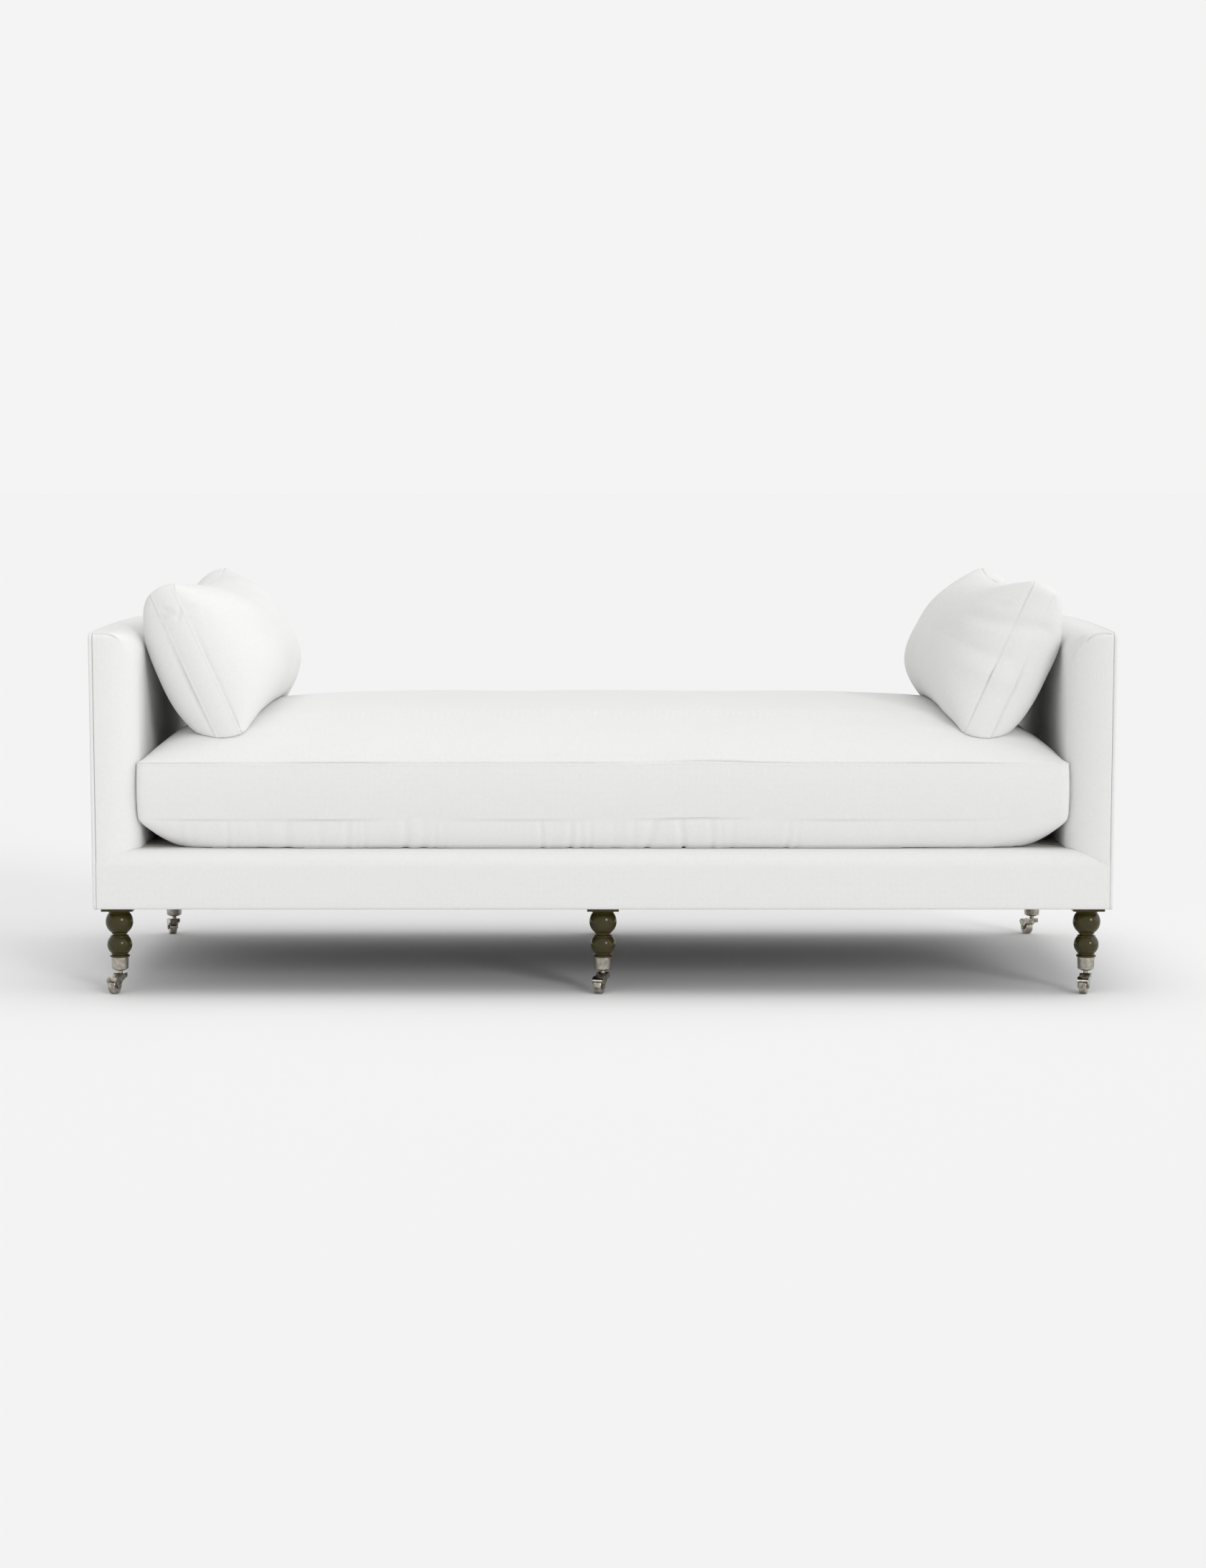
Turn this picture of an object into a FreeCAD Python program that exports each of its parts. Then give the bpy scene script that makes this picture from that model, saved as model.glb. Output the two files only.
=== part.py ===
"""A backless divan: two upholstered arms, a boxed bench cushion, two leaning pillows, six legs on casters.

Millimetres, +Z up, X along the length, Y from front to back. The origin is on the floor under the middle.
"""
import FreeCAD, Part
import math
import os

Vector = FreeCAD.Vector

# Overall size of the upholstered body
overall_width = 2108.0
overall_depth = 866.0
arm_height = 752.0
arm_top_rise = 7.0
arm_thickness = 94.5
base_height = 180.0

# Timber seat frame
rail_thickness = 28.0
rail_height = 108.0
end_rail_thickness = 28.0
rail_setback = 12.0
cross_rail_thickness = 28.0
side_cross_rail_offset = 500.0
centre_block_width = 70.0
post_width = 54.0
post_depth = 54.0
post_setback = 28.0
arm_top_rail_height = 30.0
arm_top_padding = 24.0
arm_board_thickness = 6.0

# Webbing, deck and underside cloth
webbing_thickness = 2.5
webbing_width = 70.0
webbing_pitch = 116.0
webbing_end_setback = 6.0
deck_pad_thickness = 7.5
deck_cloth_thickness = 2.0
hem_thickness = 2.0

# Upholstery of the rails and the arms
rail_roll_radius = 35.0
rail_hem_radius = 6.0
rail_cover_return = 73.0
arm_front_rounding = 62.0
arm_top_rounding = 48.0
arm_corner_radius = 14.0
arm_inner_corner_radius = 46.0
outer_panel_thickness = 8.0
welt_radius = 3.7
welt_recess = 0.3
panel_drop = 2.0

# Bench cushion: seams, crown and the drawn-in sides
cushion_end_clearance = 0.6
cushion_front_setback = 17.0
cushion_boxing = 117.0
cushion_seam_above_deck = 62.5
cushion_crown = 110.0
cushion_under_crown = 100.0
cushion_side_bulge = 6.0
cushion_corner_radius = 18.0
cushion_draw_in = 4.0
cushion_core_wrap = 26.0
cushion_core_seam_gap = 6.0
rest_gap = 0.3

# Fullness of the cushions' panels: how square the swell is, and how gently it leaves the seam
cushion_top_along = (6.0, 0.625)
cushion_top_across = (3.0, 0.667)
cushion_under_along = (6.0, 0.6)
cushion_under_across = (12.0, 0.6)
pillow_face_along = (3.8, 0.6)
pillow_face_across = (2.6, 0.6)
pillow_arm_along = (14.0, 0.5)
pillow_arm_across = (2.6, 0.55)
least_swell = 0.004

# Leaning pillows
pillow_length = 680.0
pillow_height = 330.0
pillow_boxing = 54.0
pillow_crown = 130.0
pillow_arm_crown = 66.0
pillow_sag = 0.17
pillow_arm_sag = 0.0
pillow_draw_in = 15.0
pillow_side_bulge = 5.0
pillow_corner_radius = 16.0
pillow_lean = 24.2
pillow_foot_from_arm = 179.0
pillow_pad_margin = 52.0
pillow_pad_depth = 80.0

# Turned legs
leg_inset_x = 46.0
leg_inset_y = 52.0
leg_plate_width = 66.0
leg_plate_thickness = 7.0
leg_plate_corner = 3.0
leg_cone_radius = 31.0
leg_upper_bulb_radius = 28.5
leg_lower_bulb_radius = 25.8
leg_shoulder_radius = 21.5
leg_lip_radius = 16.8
leg_neck_radius = 13.8
leg_ring_radius = 18.6
leg_foot_lip_radius = 18.2
leg_foot_neck_radius = 15.9
leg_flange_radius = 20.8
leg_cone_height = 6.5
leg_cone_hollow = 1.6
leg_upper_bulb_height = 41.3
leg_upper_bulb_belly = 19.5
leg_lip_height = 1.8
leg_slope_height = 1.2
leg_neck_height = 1.6
leg_ring_height = 2.6
leg_ring_round = 1.2
leg_ring_bulge = 0.2
leg_lower_bulb_rise = 1.5
leg_foot_lip_height = 1.6
leg_foot_slope_height = 0.8
leg_foot_neck_height = 1.4
leg_flange_height = 4.2
leg_flange_round = 1.8
leg_bolt_radius = 4.0
leg_bolt_length = 80.0
bolt_clearance = 0.05

# Cup casters
cup_top_height = 73.8
cup_floor_height = 49.0
cup_cone_height = 46.0
cup_top_radius = 18.0
cup_floor_radius = 17.0
cup_cone_radius = 11.5
cup_wall = 1.8
cup_fit = 0.05
pintle_radius = 5.0
pintle_head_radius = 8.0
pintle_head_thickness = 2.4
pintle_lift = 0.15
swivel_clearance = 0.05
fork_top_height = 40.0
fork_block_height = 9.0
fork_block_back = 10.0
fork_cheek_thickness = 3.0
fork_crown_thickness = 2.8
fork_boss_radius = 5.5
fork_shoulder_lead = 1.5
fork_crown_front_angle = 142.0
fork_crown_back_angle = 62.0
fork_throat_lead = 4.0
fork_throat_drop = 3.0
fork_cheek_spread = 7.0
wheel_radius = 16.0
wheel_width = 16.0
wheel_edge_radius = 1.4
wheel_gap = 1.2
wheel_side_clearance = 0.4
axle_radius = 3.0
axle_clearance = 0.05
axle_head_radius = 4.2
axle_head_thickness = 1.0
caster_trail = 25.0
caster_swing = 18.4

# Fasteners
rail_bolt_radius = 4.0
rail_bolt_length = 64.0
rail_bolt_head_radius = 8.0
rail_bolt_head_thickness = 4.0
rail_bolt_inset_x = 24.0
rail_bolt_edge = 32.0
rail_bolt_head_room = 1.0
cup_screw_radius = 1.5
cup_screw_length = 12.0
cup_screw_head_radius = 3.0
cup_screw_head_thickness = 1.2
cup_screw_below_top = 12.0
cup_screw_overcut = 1.0

# Planes that the pieces share
half_width = overall_width / 2
half_depth = overall_depth / 2
frame_end = half_width - outer_panel_thickness
arm_inner = half_width - arm_thickness
timber_bottom = base_height + hem_thickness
rail_top = timber_bottom + rail_height
low_rail_top = rail_top - webbing_thickness
webbing_top = rail_top + webbing_thickness
deck_pad_top = webbing_top + deck_pad_thickness
deck_top = deck_pad_top + deck_cloth_thickness
rail_front = half_depth - rail_setback
rail_back = rail_front - rail_thickness
post_front = half_depth - post_setback
post_back = post_front - post_depth
post_inner = frame_end - post_width
board_inner = post_inner - arm_board_thickness
arm_frame_top = arm_height - arm_top_padding
cover_return = half_depth - rail_cover_return
leg_x = half_width - leg_inset_x
leg_y = half_depth - leg_inset_y
cushion_half_length = arm_inner - cushion_end_clearance
cushion_half_width = half_depth - cushion_front_setback - cushion_side_bulge
lower_seam = deck_top + cushion_seam_above_deck
upper_seam = lower_seam + cushion_boxing


def box(x0, x1, y0, y1, z0, z1):
    """A block between two corners."""
    return Part.makeBox(x1 - x0, y1 - y0, z1 - z0, Vector(x0, y0, z0))


def upright(radius, x, y, z0, z1):
    """A round bar along Z."""
    return Part.makeCylinder(radius, z1 - z0, Vector(x, y, z0))


def mirror_x(shape):
    """The same piece at the other end of the divan."""
    return shape.mirror(Vector(0, 0, 0), Vector(1, 0, 0))


def mirror_y(shape):
    """The same piece on the other long side."""
    return shape.mirror(Vector(0, 0, 0), Vector(0, 1, 0))


def arc(start, middle, end):
    """An arc through three points."""
    return Part.Arc(start, middle, end).toShape()


def line(start, end):
    """A straight edge."""
    return Part.LineSegment(start, end).toShape()


def save(name, *solids):
    """Writes one named piece, or one group of like pieces, as a STEP file."""
    shape = solids[0] if len(solids) == 1 else Part.makeCompound(list(solids))
    if not shape.isValid():
        raise ValueError(name + " is not a valid solid")
    shape.exportStep(os.path.join("parts", name + ".step"))


# Seat frame: long rails, end rails, cross rails and the four posts that the legs and the arms share


def long_rail():
    """The front rail, with holes for the bolts that hold it to the posts."""
    rail = box(-frame_end, frame_end, -rail_front, -rail_back, timber_bottom, rail_top)
    for side in (-1, 1):
        for height in rail_bolt_heights():
            rail = rail.cut(rail_bolt_hole(side, height))
    return rail


def rail_bolt_heights():
    """The heights of the two bolts in each joint of rail and post."""
    return (timber_bottom + rail_bolt_edge, rail_top - rail_bolt_edge)


def rail_bolt_x():
    """How far the rail bolts stand from the middle of the divan."""
    return frame_end - rail_bolt_inset_x


def rail_bolt_hole(side, height):
    """The shank's hole and the counterbore for the head, at the front."""
    start = Vector(side * rail_bolt_x(), -rail_front, height)
    shank = Part.makeCylinder(rail_bolt_radius + bolt_clearance, rail_bolt_length, start, Vector(0, 1, 0))
    head_radius = rail_bolt_head_radius + rail_bolt_head_room
    head = Part.makeCylinder(head_radius, rail_bolt_head_thickness, start, Vector(0, 1, 0))
    return shank.fuse(head)


def rail_bolt(side, height):
    """One bolt with its flat head sunk into the rail's face."""
    start = Vector(side * rail_bolt_x(), -rail_front, height)
    shank = Part.makeCylinder(rail_bolt_radius, rail_bolt_length, start, Vector(0, 1, 0))
    head = Part.makeCylinder(rail_bolt_head_radius, rail_bolt_head_thickness, start, Vector(0, 1, 0))
    return shank.fuse(head).removeSplitter()


def leg_bolt_hole(x, y):
    """The hole that a leg's bolt fills, in the leg and in the timber over it."""
    bottom = base_height - leg_bolt_length / 2
    return upright(leg_bolt_radius + bolt_clearance, x, y, bottom, bottom + leg_bolt_length)


def front_post():
    """The left front post, lapped over the front rail."""
    post = box(-frame_end, -post_inner, -post_front, -post_back, timber_bottom, arm_frame_top)
    lap = box(-frame_end, -post_inner, -post_front, -rail_back, timber_bottom, rail_top)
    post = post.cut(lap).cut(leg_bolt_hole(-leg_x, -leg_y))
    for height in rail_bolt_heights():
        post = post.cut(rail_bolt_hole(-1, height))
    return post


def end_rail():
    """The left end rail, between the two posts."""
    inner = frame_end - end_rail_thickness
    return box(-frame_end, -inner, -post_back, post_back, timber_bottom, low_rail_top)


def cross_rail(x, reach):
    """A rail across the seat at x, as long as twice its reach."""
    half = cross_rail_thickness / 2
    return box(x - half, x + half, -reach, reach, timber_bottom, low_rail_top)


def centre_block():
    """The block behind the front rail that takes the centre leg's bolt."""
    half = centre_block_width / 2
    block = box(-half, half, -rail_back, -post_back, timber_bottom, low_rail_top)
    return block.cut(leg_bolt_hole(0, -leg_y))


def arm_top_rail():
    """The left arm's top rail, between its posts."""
    bottom = arm_frame_top - arm_top_rail_height
    return box(-frame_end, -post_inner, -post_back, post_back, bottom, arm_frame_top)


def arm_board():
    """The board on the left arm's inner side, which backs the padding."""
    return box(-post_inner, -board_inner, -post_front, post_front, rail_top, arm_frame_top)


# Webbing, deck and the cloth under the frame


def webbing():
    """Straps along the seat, and straps across it that lie on them."""
    straps = []
    reach_x = frame_end - webbing_end_setback
    reach_y = rail_front - webbing_end_setback
    half = webbing_width / 2
    rows = int((post_back - half) // webbing_pitch)
    for row in range(-rows, rows + 1):
        y = row * webbing_pitch
        straps.append(box(-reach_x, reach_x, y - half, y + half, low_rail_top, rail_top))
    columns = int((board_inner - half) // webbing_pitch)
    for column in range(-columns, columns + 1):
        x = column * webbing_pitch
        straps.append(box(x - half, x + half, -reach_y, reach_y, rail_top, webbing_top))
    return straps


def deck_layer(bottom, top):
    """One flat layer of the deck, from arm board to arm board between the rail covers."""
    return box(-board_inner, board_inner, -cover_return, cover_return, bottom, top)


def dust_cover():
    """The cloth under the frame, with a hole at each leg's bolt."""
    cloth = box(-frame_end, frame_end, -rail_back, rail_back, base_height, timber_bottom)
    for x, y in leg_places():
        cloth = cloth.cut(leg_bolt_hole(x, y))
    return cloth


# Upholstery of the rails and the arms


def rail_outline(inner_points):
    """The rolled front of a rail cover, closed: from hem to deck and back by the inner points."""
    front = -half_depth
    hem = rail_hem_radius
    roll = rail_roll_radius
    bend = math.sqrt(0.5)
    hem_start = Vector(0, front + hem, base_height)
    hem_end = Vector(0, front, base_height + hem)
    hem_middle = Vector(0, front + hem * (1 - bend), base_height + hem * (1 - bend))
    roll_start = Vector(0, front, deck_top - roll)
    roll_end = Vector(0, front + roll, deck_top)
    roll_middle = Vector(0, front + roll * (1 - bend), deck_top - roll * (1 - bend))
    edges = [arc(hem_start, hem_middle, hem_end), line(hem_end, roll_start)]
    edges.append(arc(roll_start, roll_middle, roll_end))
    last = roll_end
    for y, z in inner_points:
        edges.append(line(last, Vector(0, y, z)))
        last = Vector(0, y, z)
    edges.append(line(last, hem_start))
    return Part.Wire(edges)


def run_along_x(wire, reach):
    """A solid with one outline all along X."""
    wire.translate(Vector(-reach, 0, 0))
    return Part.Face(wire).extrude(Vector(2 * reach, 0, 0))


def rail_cover(uprights):
    """The front rail's padded cover, from the underside over the rolled edge to the deck."""
    inside = [
        (-cover_return, deck_top),
        (-cover_return, webbing_top),
        (-rail_front, webbing_top),
        (-rail_front, timber_bottom),
        (-rail_back, timber_bottom),
        (-rail_back, base_height),
    ]
    cover = run_along_x(rail_outline(inside), frame_end)
    return cover.cut(Part.makeCompound(uprights))


def base_envelope():
    """The front half of everything below the deck and the rolled edge, which the arm covers stand on."""
    return run_along_x(rail_outline([(0, deck_top), (0, base_height)]), half_width)


def crowned_top(x, reach, top, corner):
    """The edges of an arm's outline from its front side over the crown to its back side, with both ends."""
    crown_radius = (reach ** 2 + arm_top_rise ** 2) / (2 * arm_top_rise)
    crown_centre = top + arm_top_rise - crown_radius
    across = reach - corner
    corner_z = crown_centre + math.sqrt((crown_radius - corner) ** 2 - across ** 2)
    tilt = math.atan2(across, corner_z - crown_centre)
    half_turn = (math.pi / 2 + tilt) / 2
    side = Vector(x, -reach, corner_z)
    bend = Vector(x, -across - corner * math.sin(half_turn), corner_z + corner * math.cos(half_turn))
    shoulder = Vector(x, -across - corner * math.sin(tilt), corner_z + corner * math.cos(tilt))
    edges = [
        arc(side, bend, shoulder),
        arc(shoulder, Vector(x, 0, top + arm_top_rise), Vector(x, -shoulder.y, shoulder.z)),
        arc(Vector(x, -shoulder.y, shoulder.z), Vector(x, -bend.y, bend.z), Vector(x, reach, side.z)),
    ]
    return edges, side, Vector(x, reach, side.z)


def arm_section(x, front_inset, top_inset, corner):
    """The outline of an arm across the depth at x, with its top slightly crowned."""
    reach = half_depth - front_inset
    over, front_side, back_side = crowned_top(x, reach, arm_height - top_inset, corner)
    front_foot = Vector(x, -reach, deck_top - rail_roll_radius)
    back_foot = Vector(x, reach, deck_top - rail_roll_radius)
    edges = [line(front_foot, front_side)] + over + [line(back_side, back_foot), line(back_foot, front_foot)]
    return Part.Wire(edges)


def arm_cover(board):
    """The left arm's padded cover, rounded towards the seat and hollow where the timber stands."""
    sections = []
    for degrees in range(0, 91, 15):
        angle = math.radians(degrees)
        x = -frame_end + (frame_end - arm_inner) * math.sin(angle)
        fall = 1 - math.cos(angle)
        corner = arm_corner_radius + (arm_inner_corner_radius - arm_corner_radius) * fall
        sections.append(arm_section(x, arm_front_rounding * fall, arm_top_rounding * fall, corner))
    block = Part.makeLoft(sections, True, False)
    base = base_envelope()
    block = block.cut(base).cut(mirror_y(base))
    hollow = box(-frame_end, -post_inner, -post_front, post_front, base_height, arm_frame_top)
    return block.cut(hollow).cut(board)


def panel_outline(x, inset):
    """The outer panel's outline, set in from its edge by an inset."""
    corner = arm_corner_radius - inset
    reach = half_depth - inset
    bottom = base_height - panel_drop + inset
    bend = corner * (1 - math.sqrt(0.5))
    over, front_side, back_side = crowned_top(x, reach, arm_height - inset, corner)
    front_foot = Vector(x, -reach, bottom + corner)
    back_foot = Vector(x, reach, bottom + corner)
    front_heel = Vector(x, -reach + corner, bottom)
    back_heel = Vector(x, reach - corner, bottom)
    under = [
        arc(back_foot, Vector(x, reach - bend, bottom + bend), back_heel),
        line(back_heel, front_heel),
        arc(front_heel, Vector(x, -reach + bend, bottom + bend), front_foot),
    ]
    return Part.Wire([line(front_foot, front_side)] + over + [line(back_side, back_foot)] + under)


def outer_panel():
    """The flat padded panel on the left arm's outer side, inside the ring of its welt."""
    face = Part.Face(panel_outline(-half_width, 2 * welt_radius))
    return face.extrude(Vector(outer_panel_thickness, 0, 0))


def arm_welt():
    """The covered cord round the left outer panel."""
    x = -half_width + welt_recess + welt_radius
    path = panel_outline(x, welt_radius)
    start = Vector(x, -half_depth + welt_radius, base_height - panel_drop + arm_corner_radius)
    ring = Part.Wire(Part.makeCircle(welt_radius, start, Vector(0, 0, 1)))
    return path.makePipeShell([ring], True, False)


# Cushions: a strip of boxing round the edge, and a crowned panel on each side of it


class Crown:
    """How one panel of a cushion swells: its height, how full it is both ways, and how far it sags."""

    def __init__(self, height, along, across, sag):
        self.height = height
        self.along = along
        self.across = across
        self.sag = sag

    def rise(self, length_share, width_share):
        """The panel's height over the seam, at shares of the half length and the half width."""
        power, ease = self.along
        lengthways = max(1 - abs(length_share) ** power, least_swell) ** ease
        power, ease = self.across
        crossways = (1 - abs(width_share) ** power) ** ease
        return self.height * lengthways * crossways * (1 - self.sag * width_share)


class Cushion:
    """A boxed cushion in its own frame: X along it, Y across it, Z through it from the boxing's middle."""

    def __init__(self, length, width, boxing, upper, lower, side_bulge, corner, draw_in):
        self.half_length = length / 2
        self.half_width = width / 2
        self.half_boxing = boxing / 2
        self.upper = upper
        self.lower = lower
        self.side_bulge = side_bulge
        self.corner = corner
        self.draw_in = draw_in

    def section(self, x, width):
        """The closed outline across the cushion at x."""
        boxing = self.half_boxing
        steps = ((-1, -0.97, -0.9), (-0.9, -0.7, -0.4), (-0.4, 0, 0.4), (0.4, 0.7, 0.9), (0.9, 0.97, 1))
        length_share = x / self.half_length

        def over(share):
            return Vector(x, share * width, boxing + self.upper.rise(length_share, share))

        def under(share):
            return Vector(x, share * width, -boxing - self.lower.rise(length_share, share))

        edges = [arc(over(start), over(middle), over(end)) for start, middle, end in steps]
        belly = width + self.side_bulge
        edges.append(arc(Vector(x, width, boxing), Vector(x, belly, 0), Vector(x, width, -boxing)))
        edges += [arc(under(end), under(middle), under(start)) for start, middle, end in reversed(steps)]
        edges.append(arc(Vector(x, -width, -boxing), Vector(x, -belly, 0), Vector(x, -width, boxing)))
        return Part.Wire(edges)

    def solid(self):
        """The whole cushion, lofted from end to end, with its sides drawn in between rounded corners."""
        straight = self.half_length - self.corner
        stations = []
        for degrees in (0, 16, 31, 44, 55, 64, 72):
            share = math.sin(math.radians(degrees))
            stations.append((share * straight, self.half_width - self.draw_in * (1 - share ** 2)))
        for degrees in (0, 30, 60, 90):
            angle = math.radians(degrees)
            width = self.half_width - self.corner * (1 - math.cos(angle))
            stations.append((straight + self.corner * math.sin(angle), width))
        sections = [self.section(-x, width) for x, width in reversed(stations[1:])]
        sections += [self.section(x, width) for x, width in stations]
        return Part.makeLoft(sections, True, False)


bench = Cushion(
    length=2 * cushion_half_length,
    width=2 * cushion_half_width,
    boxing=cushion_boxing,
    upper=Crown(cushion_crown, cushion_top_along, cushion_top_across, 0.0),
    lower=Crown(cushion_under_crown, cushion_under_along, cushion_under_across, 0.0),
    side_bulge=cushion_side_bulge,
    corner=cushion_corner_radius,
    draw_in=cushion_draw_in,
)
pillow = Cushion(
    length=pillow_length,
    width=pillow_height,
    boxing=pillow_boxing,
    upper=Crown(pillow_crown, pillow_face_along, pillow_face_across, pillow_sag),
    lower=Crown(pillow_arm_crown, pillow_arm_along, pillow_arm_across, pillow_arm_sag),
    side_bulge=pillow_side_bulge,
    corner=pillow_corner_radius,
    draw_in=pillow_draw_in,
)


def bench_outside():
    """The bench cushion's outer form, flat where it lies on the deck."""
    form = bench.solid()
    form.translate(Vector(0, 0, (lower_seam + upper_seam) / 2))
    floor = box(-half_width, half_width, -half_depth, half_depth, 0, deck_top + rest_gap)
    return form.cut(floor)


def bench_core():
    """The foam slab inside the bench cushion."""
    reach_x = cushion_half_length - cushion_core_wrap
    reach_y = cushion_half_width - cushion_core_wrap
    gap = cushion_core_seam_gap
    return box(-reach_x, reach_x, -reach_y, reach_y, lower_seam + gap, upper_seam - gap)


def bench_top(x, y):
    """The height of the bench cushion's crown over a point of the seat."""
    return upper_seam + bench.upper.rise(x / cushion_half_length, y / cushion_half_width)


def lean_left(shape):
    """Stands a pillow's form on the bench cushion with its top towards the left arm."""
    lean = math.radians(pillow_lean)
    upwards = Vector(-math.sin(lean), 0, math.cos(lean))
    outwards = Vector(math.cos(lean), 0, math.sin(lean))
    turn = FreeCAD.Rotation(Vector(0, 1, 0), upwards, outwards, "XYZ")
    foot_x = -arm_inner + pillow_foot_from_arm
    foot_z = bench_top(foot_x, pillow_length / 2)
    rise = pillow_height / 2
    middle = Vector(foot_x - rise * math.sin(lean), 0, foot_z + rise * math.cos(lean))
    shape.Placement = FreeCAD.Placement(middle, turn)
    return shape


def left_pillow_outside(seat):
    """The left pillow's outer form, pressed in where it stands on the bench cushion and leans on the arm."""
    form = lean_left(pillow.solid())
    raised = seat.copy()
    raised.translate(Vector(0, 0, 2 * rest_gap))
    arm = box(-half_width, -arm_inner + rest_gap, -half_depth, half_depth, base_height, 2 * arm_height)
    return form.cut(raised).cut(arm)


def pillow_pad():
    """The filling pad inside the left pillow."""
    reach_x = pillow_length / 2 - pillow_pad_margin
    reach_y = pillow_height / 2 - pillow_pad_margin
    pad = box(-reach_x, reach_x, -reach_y, reach_y, -pillow_boxing / 4, pillow_pad_depth - pillow_boxing / 4)
    return lean_left(pad)


# Turned legs and their cup casters


def leg_places():
    """The six legs' axes, front row first."""
    return [(x, y) for y in (-leg_y, leg_y) for x in (-leg_x, 0, leg_x)]


def turned(points, arcs):
    """A solid of revolution about Z from radius and height pairs; arcs maps a start to its middle point."""
    vectors = [Vector(r, 0, z) for r, z in points]
    edges = []
    for index, start in enumerate(vectors):
        end = vectors[(index + 1) % len(vectors)]
        if index in arcs:
            r, z = arcs[index]
            edges.append(arc(start, Vector(r, 0, z), end))
        else:
            edges.append(line(start, end))
    solid = Part.Face(Part.Wire(edges)).revolve(Vector(0, 0, 0), Vector(0, 0, 1), 360)
    return solid if solid.Volume > 0 else solid.reversed()


def cup_inner_radius(height):
    """The radius of the cup's tapered bore at a height."""
    share = (height - cup_floor_height) / (cup_top_height - cup_floor_height)
    return cup_floor_radius + (cup_top_radius - cup_floor_radius) * share - cup_wall


def leg():
    """One turned leg: a square plate, two bulbs with lips and necks, a flange and the spigot in the cup."""
    plate_bottom = base_height - leg_plate_thickness
    shoulder = plate_bottom - leg_cone_height
    upper_end = shoulder - leg_upper_bulb_height
    lip_end = upper_end - leg_lip_height
    neck_start = lip_end - leg_slope_height
    neck_end = neck_start - leg_neck_height
    ring_start = neck_end - leg_slope_height
    ring_end = ring_start - leg_ring_height
    flange_bottom = cup_top_height
    flange_top = flange_bottom + leg_flange_height
    foot_neck_end = flange_top + leg_foot_slope_height
    foot_neck_start = foot_neck_end + leg_foot_neck_height
    foot_lip_end = foot_neck_start + leg_foot_slope_height
    lower_end = foot_lip_end + leg_foot_lip_height
    lower_belly = (ring_end + lower_end) / 2 + leg_lower_bulb_rise
    spigot_end = cup_floor_height + pintle_lift + pintle_head_thickness + pintle_lift
    flange_edge = leg_flange_radius - leg_flange_round
    points = [
        (0, plate_bottom),
        (leg_cone_radius, plate_bottom),
        (leg_shoulder_radius, shoulder),
        (leg_lip_radius, upper_end),
        (leg_lip_radius, lip_end),
        (leg_neck_radius, neck_start),
        (leg_neck_radius, neck_end),
        (leg_ring_radius - leg_ring_round, ring_start),
        (leg_ring_radius, ring_end),
        (leg_foot_lip_radius, lower_end),
        (leg_foot_lip_radius, foot_lip_end),
        (leg_foot_neck_radius, foot_neck_start),
        (leg_foot_neck_radius, foot_neck_end),
        (flange_edge, flange_top),
        (flange_edge, flange_bottom),
        (cup_inner_radius(flange_bottom) - cup_fit, flange_bottom),
        (cup_inner_radius(spigot_end) - cup_fit, spigot_end),
        (0, spigot_end),
    ]
    cone_middle = (leg_cone_radius + leg_shoulder_radius) / 2 - leg_cone_hollow
    arcs = {
        1: (cone_middle, (plate_bottom + shoulder + leg_cone_hollow) / 2),
        2: (leg_upper_bulb_radius, shoulder - leg_upper_bulb_belly),
        7: (leg_ring_radius + leg_ring_bulge, (ring_start + ring_end) / 2),
        8: (leg_lower_bulb_radius, lower_belly),
        13: (leg_flange_radius, (flange_top + flange_bottom) / 2),
    }
    half = leg_plate_width / 2
    plate = box(-half, half, -half, half, plate_bottom, base_height)
    corners = [edge for edge in plate.Edges if abs(edge.Vertexes[0].Z - edge.Vertexes[1].Z) > 1]
    plate = plate.makeFillet(leg_plate_corner, corners)
    body = plate.fuse(turned(points, arcs)).removeSplitter()
    return body.cut(leg_bolt_hole(0, 0)).cut(cup_screw_hole())


def cup():
    """One cup: a tapered shell with a coned floor that the fork's pintle turns in."""
    bore = pintle_radius + swivel_clearance
    points = [
        (cup_top_radius, cup_top_height),
        (cup_floor_radius, cup_floor_height),
        (cup_cone_radius, cup_cone_height),
        (bore, cup_cone_height),
        (bore, cup_floor_height),
        (cup_inner_radius(cup_floor_height), cup_floor_height),
        (cup_inner_radius(cup_top_height), cup_top_height),
    ]
    return turned(points, {}).cut(cup_screw_hole())


def cup_screw_start():
    """Where the screw's head lies flush with the cup."""
    height = cup_top_height - cup_screw_below_top
    return Vector(0, cup_inner_radius(height) + cup_wall, height)


def cup_screw():
    """The small screw that holds a cup on its leg, driven from the back."""
    start = cup_screw_start()
    inwards = Vector(0, -1, 0)
    head = Part.makeCylinder(cup_screw_head_radius, cup_screw_head_thickness, start, inwards)
    shank = Part.makeCylinder(cup_screw_radius, cup_screw_length, start, inwards)
    return head.fuse(shank).removeSplitter()


def cup_screw_hole():
    """The room for the screw in the cup and the leg."""
    start = cup_screw_start() + Vector(0, cup_screw_overcut, 0)
    inwards = Vector(0, -1, 0)
    head_length = cup_screw_head_thickness + cup_screw_overcut
    head = Part.makeCylinder(cup_screw_head_radius, head_length, start, inwards)
    shank = Part.makeCylinder(cup_screw_radius, cup_screw_length + cup_screw_overcut, start, inwards)
    return head.fuse(shank)


def fork_rim(x, radius, degrees):
    """A point of the fork at a radius from the wheel's axis, at an angle from the back up."""
    angle = math.radians(degrees)
    return Vector(x, -caster_trail + radius * math.cos(angle), wheel_radius + radius * math.sin(angle))


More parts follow.
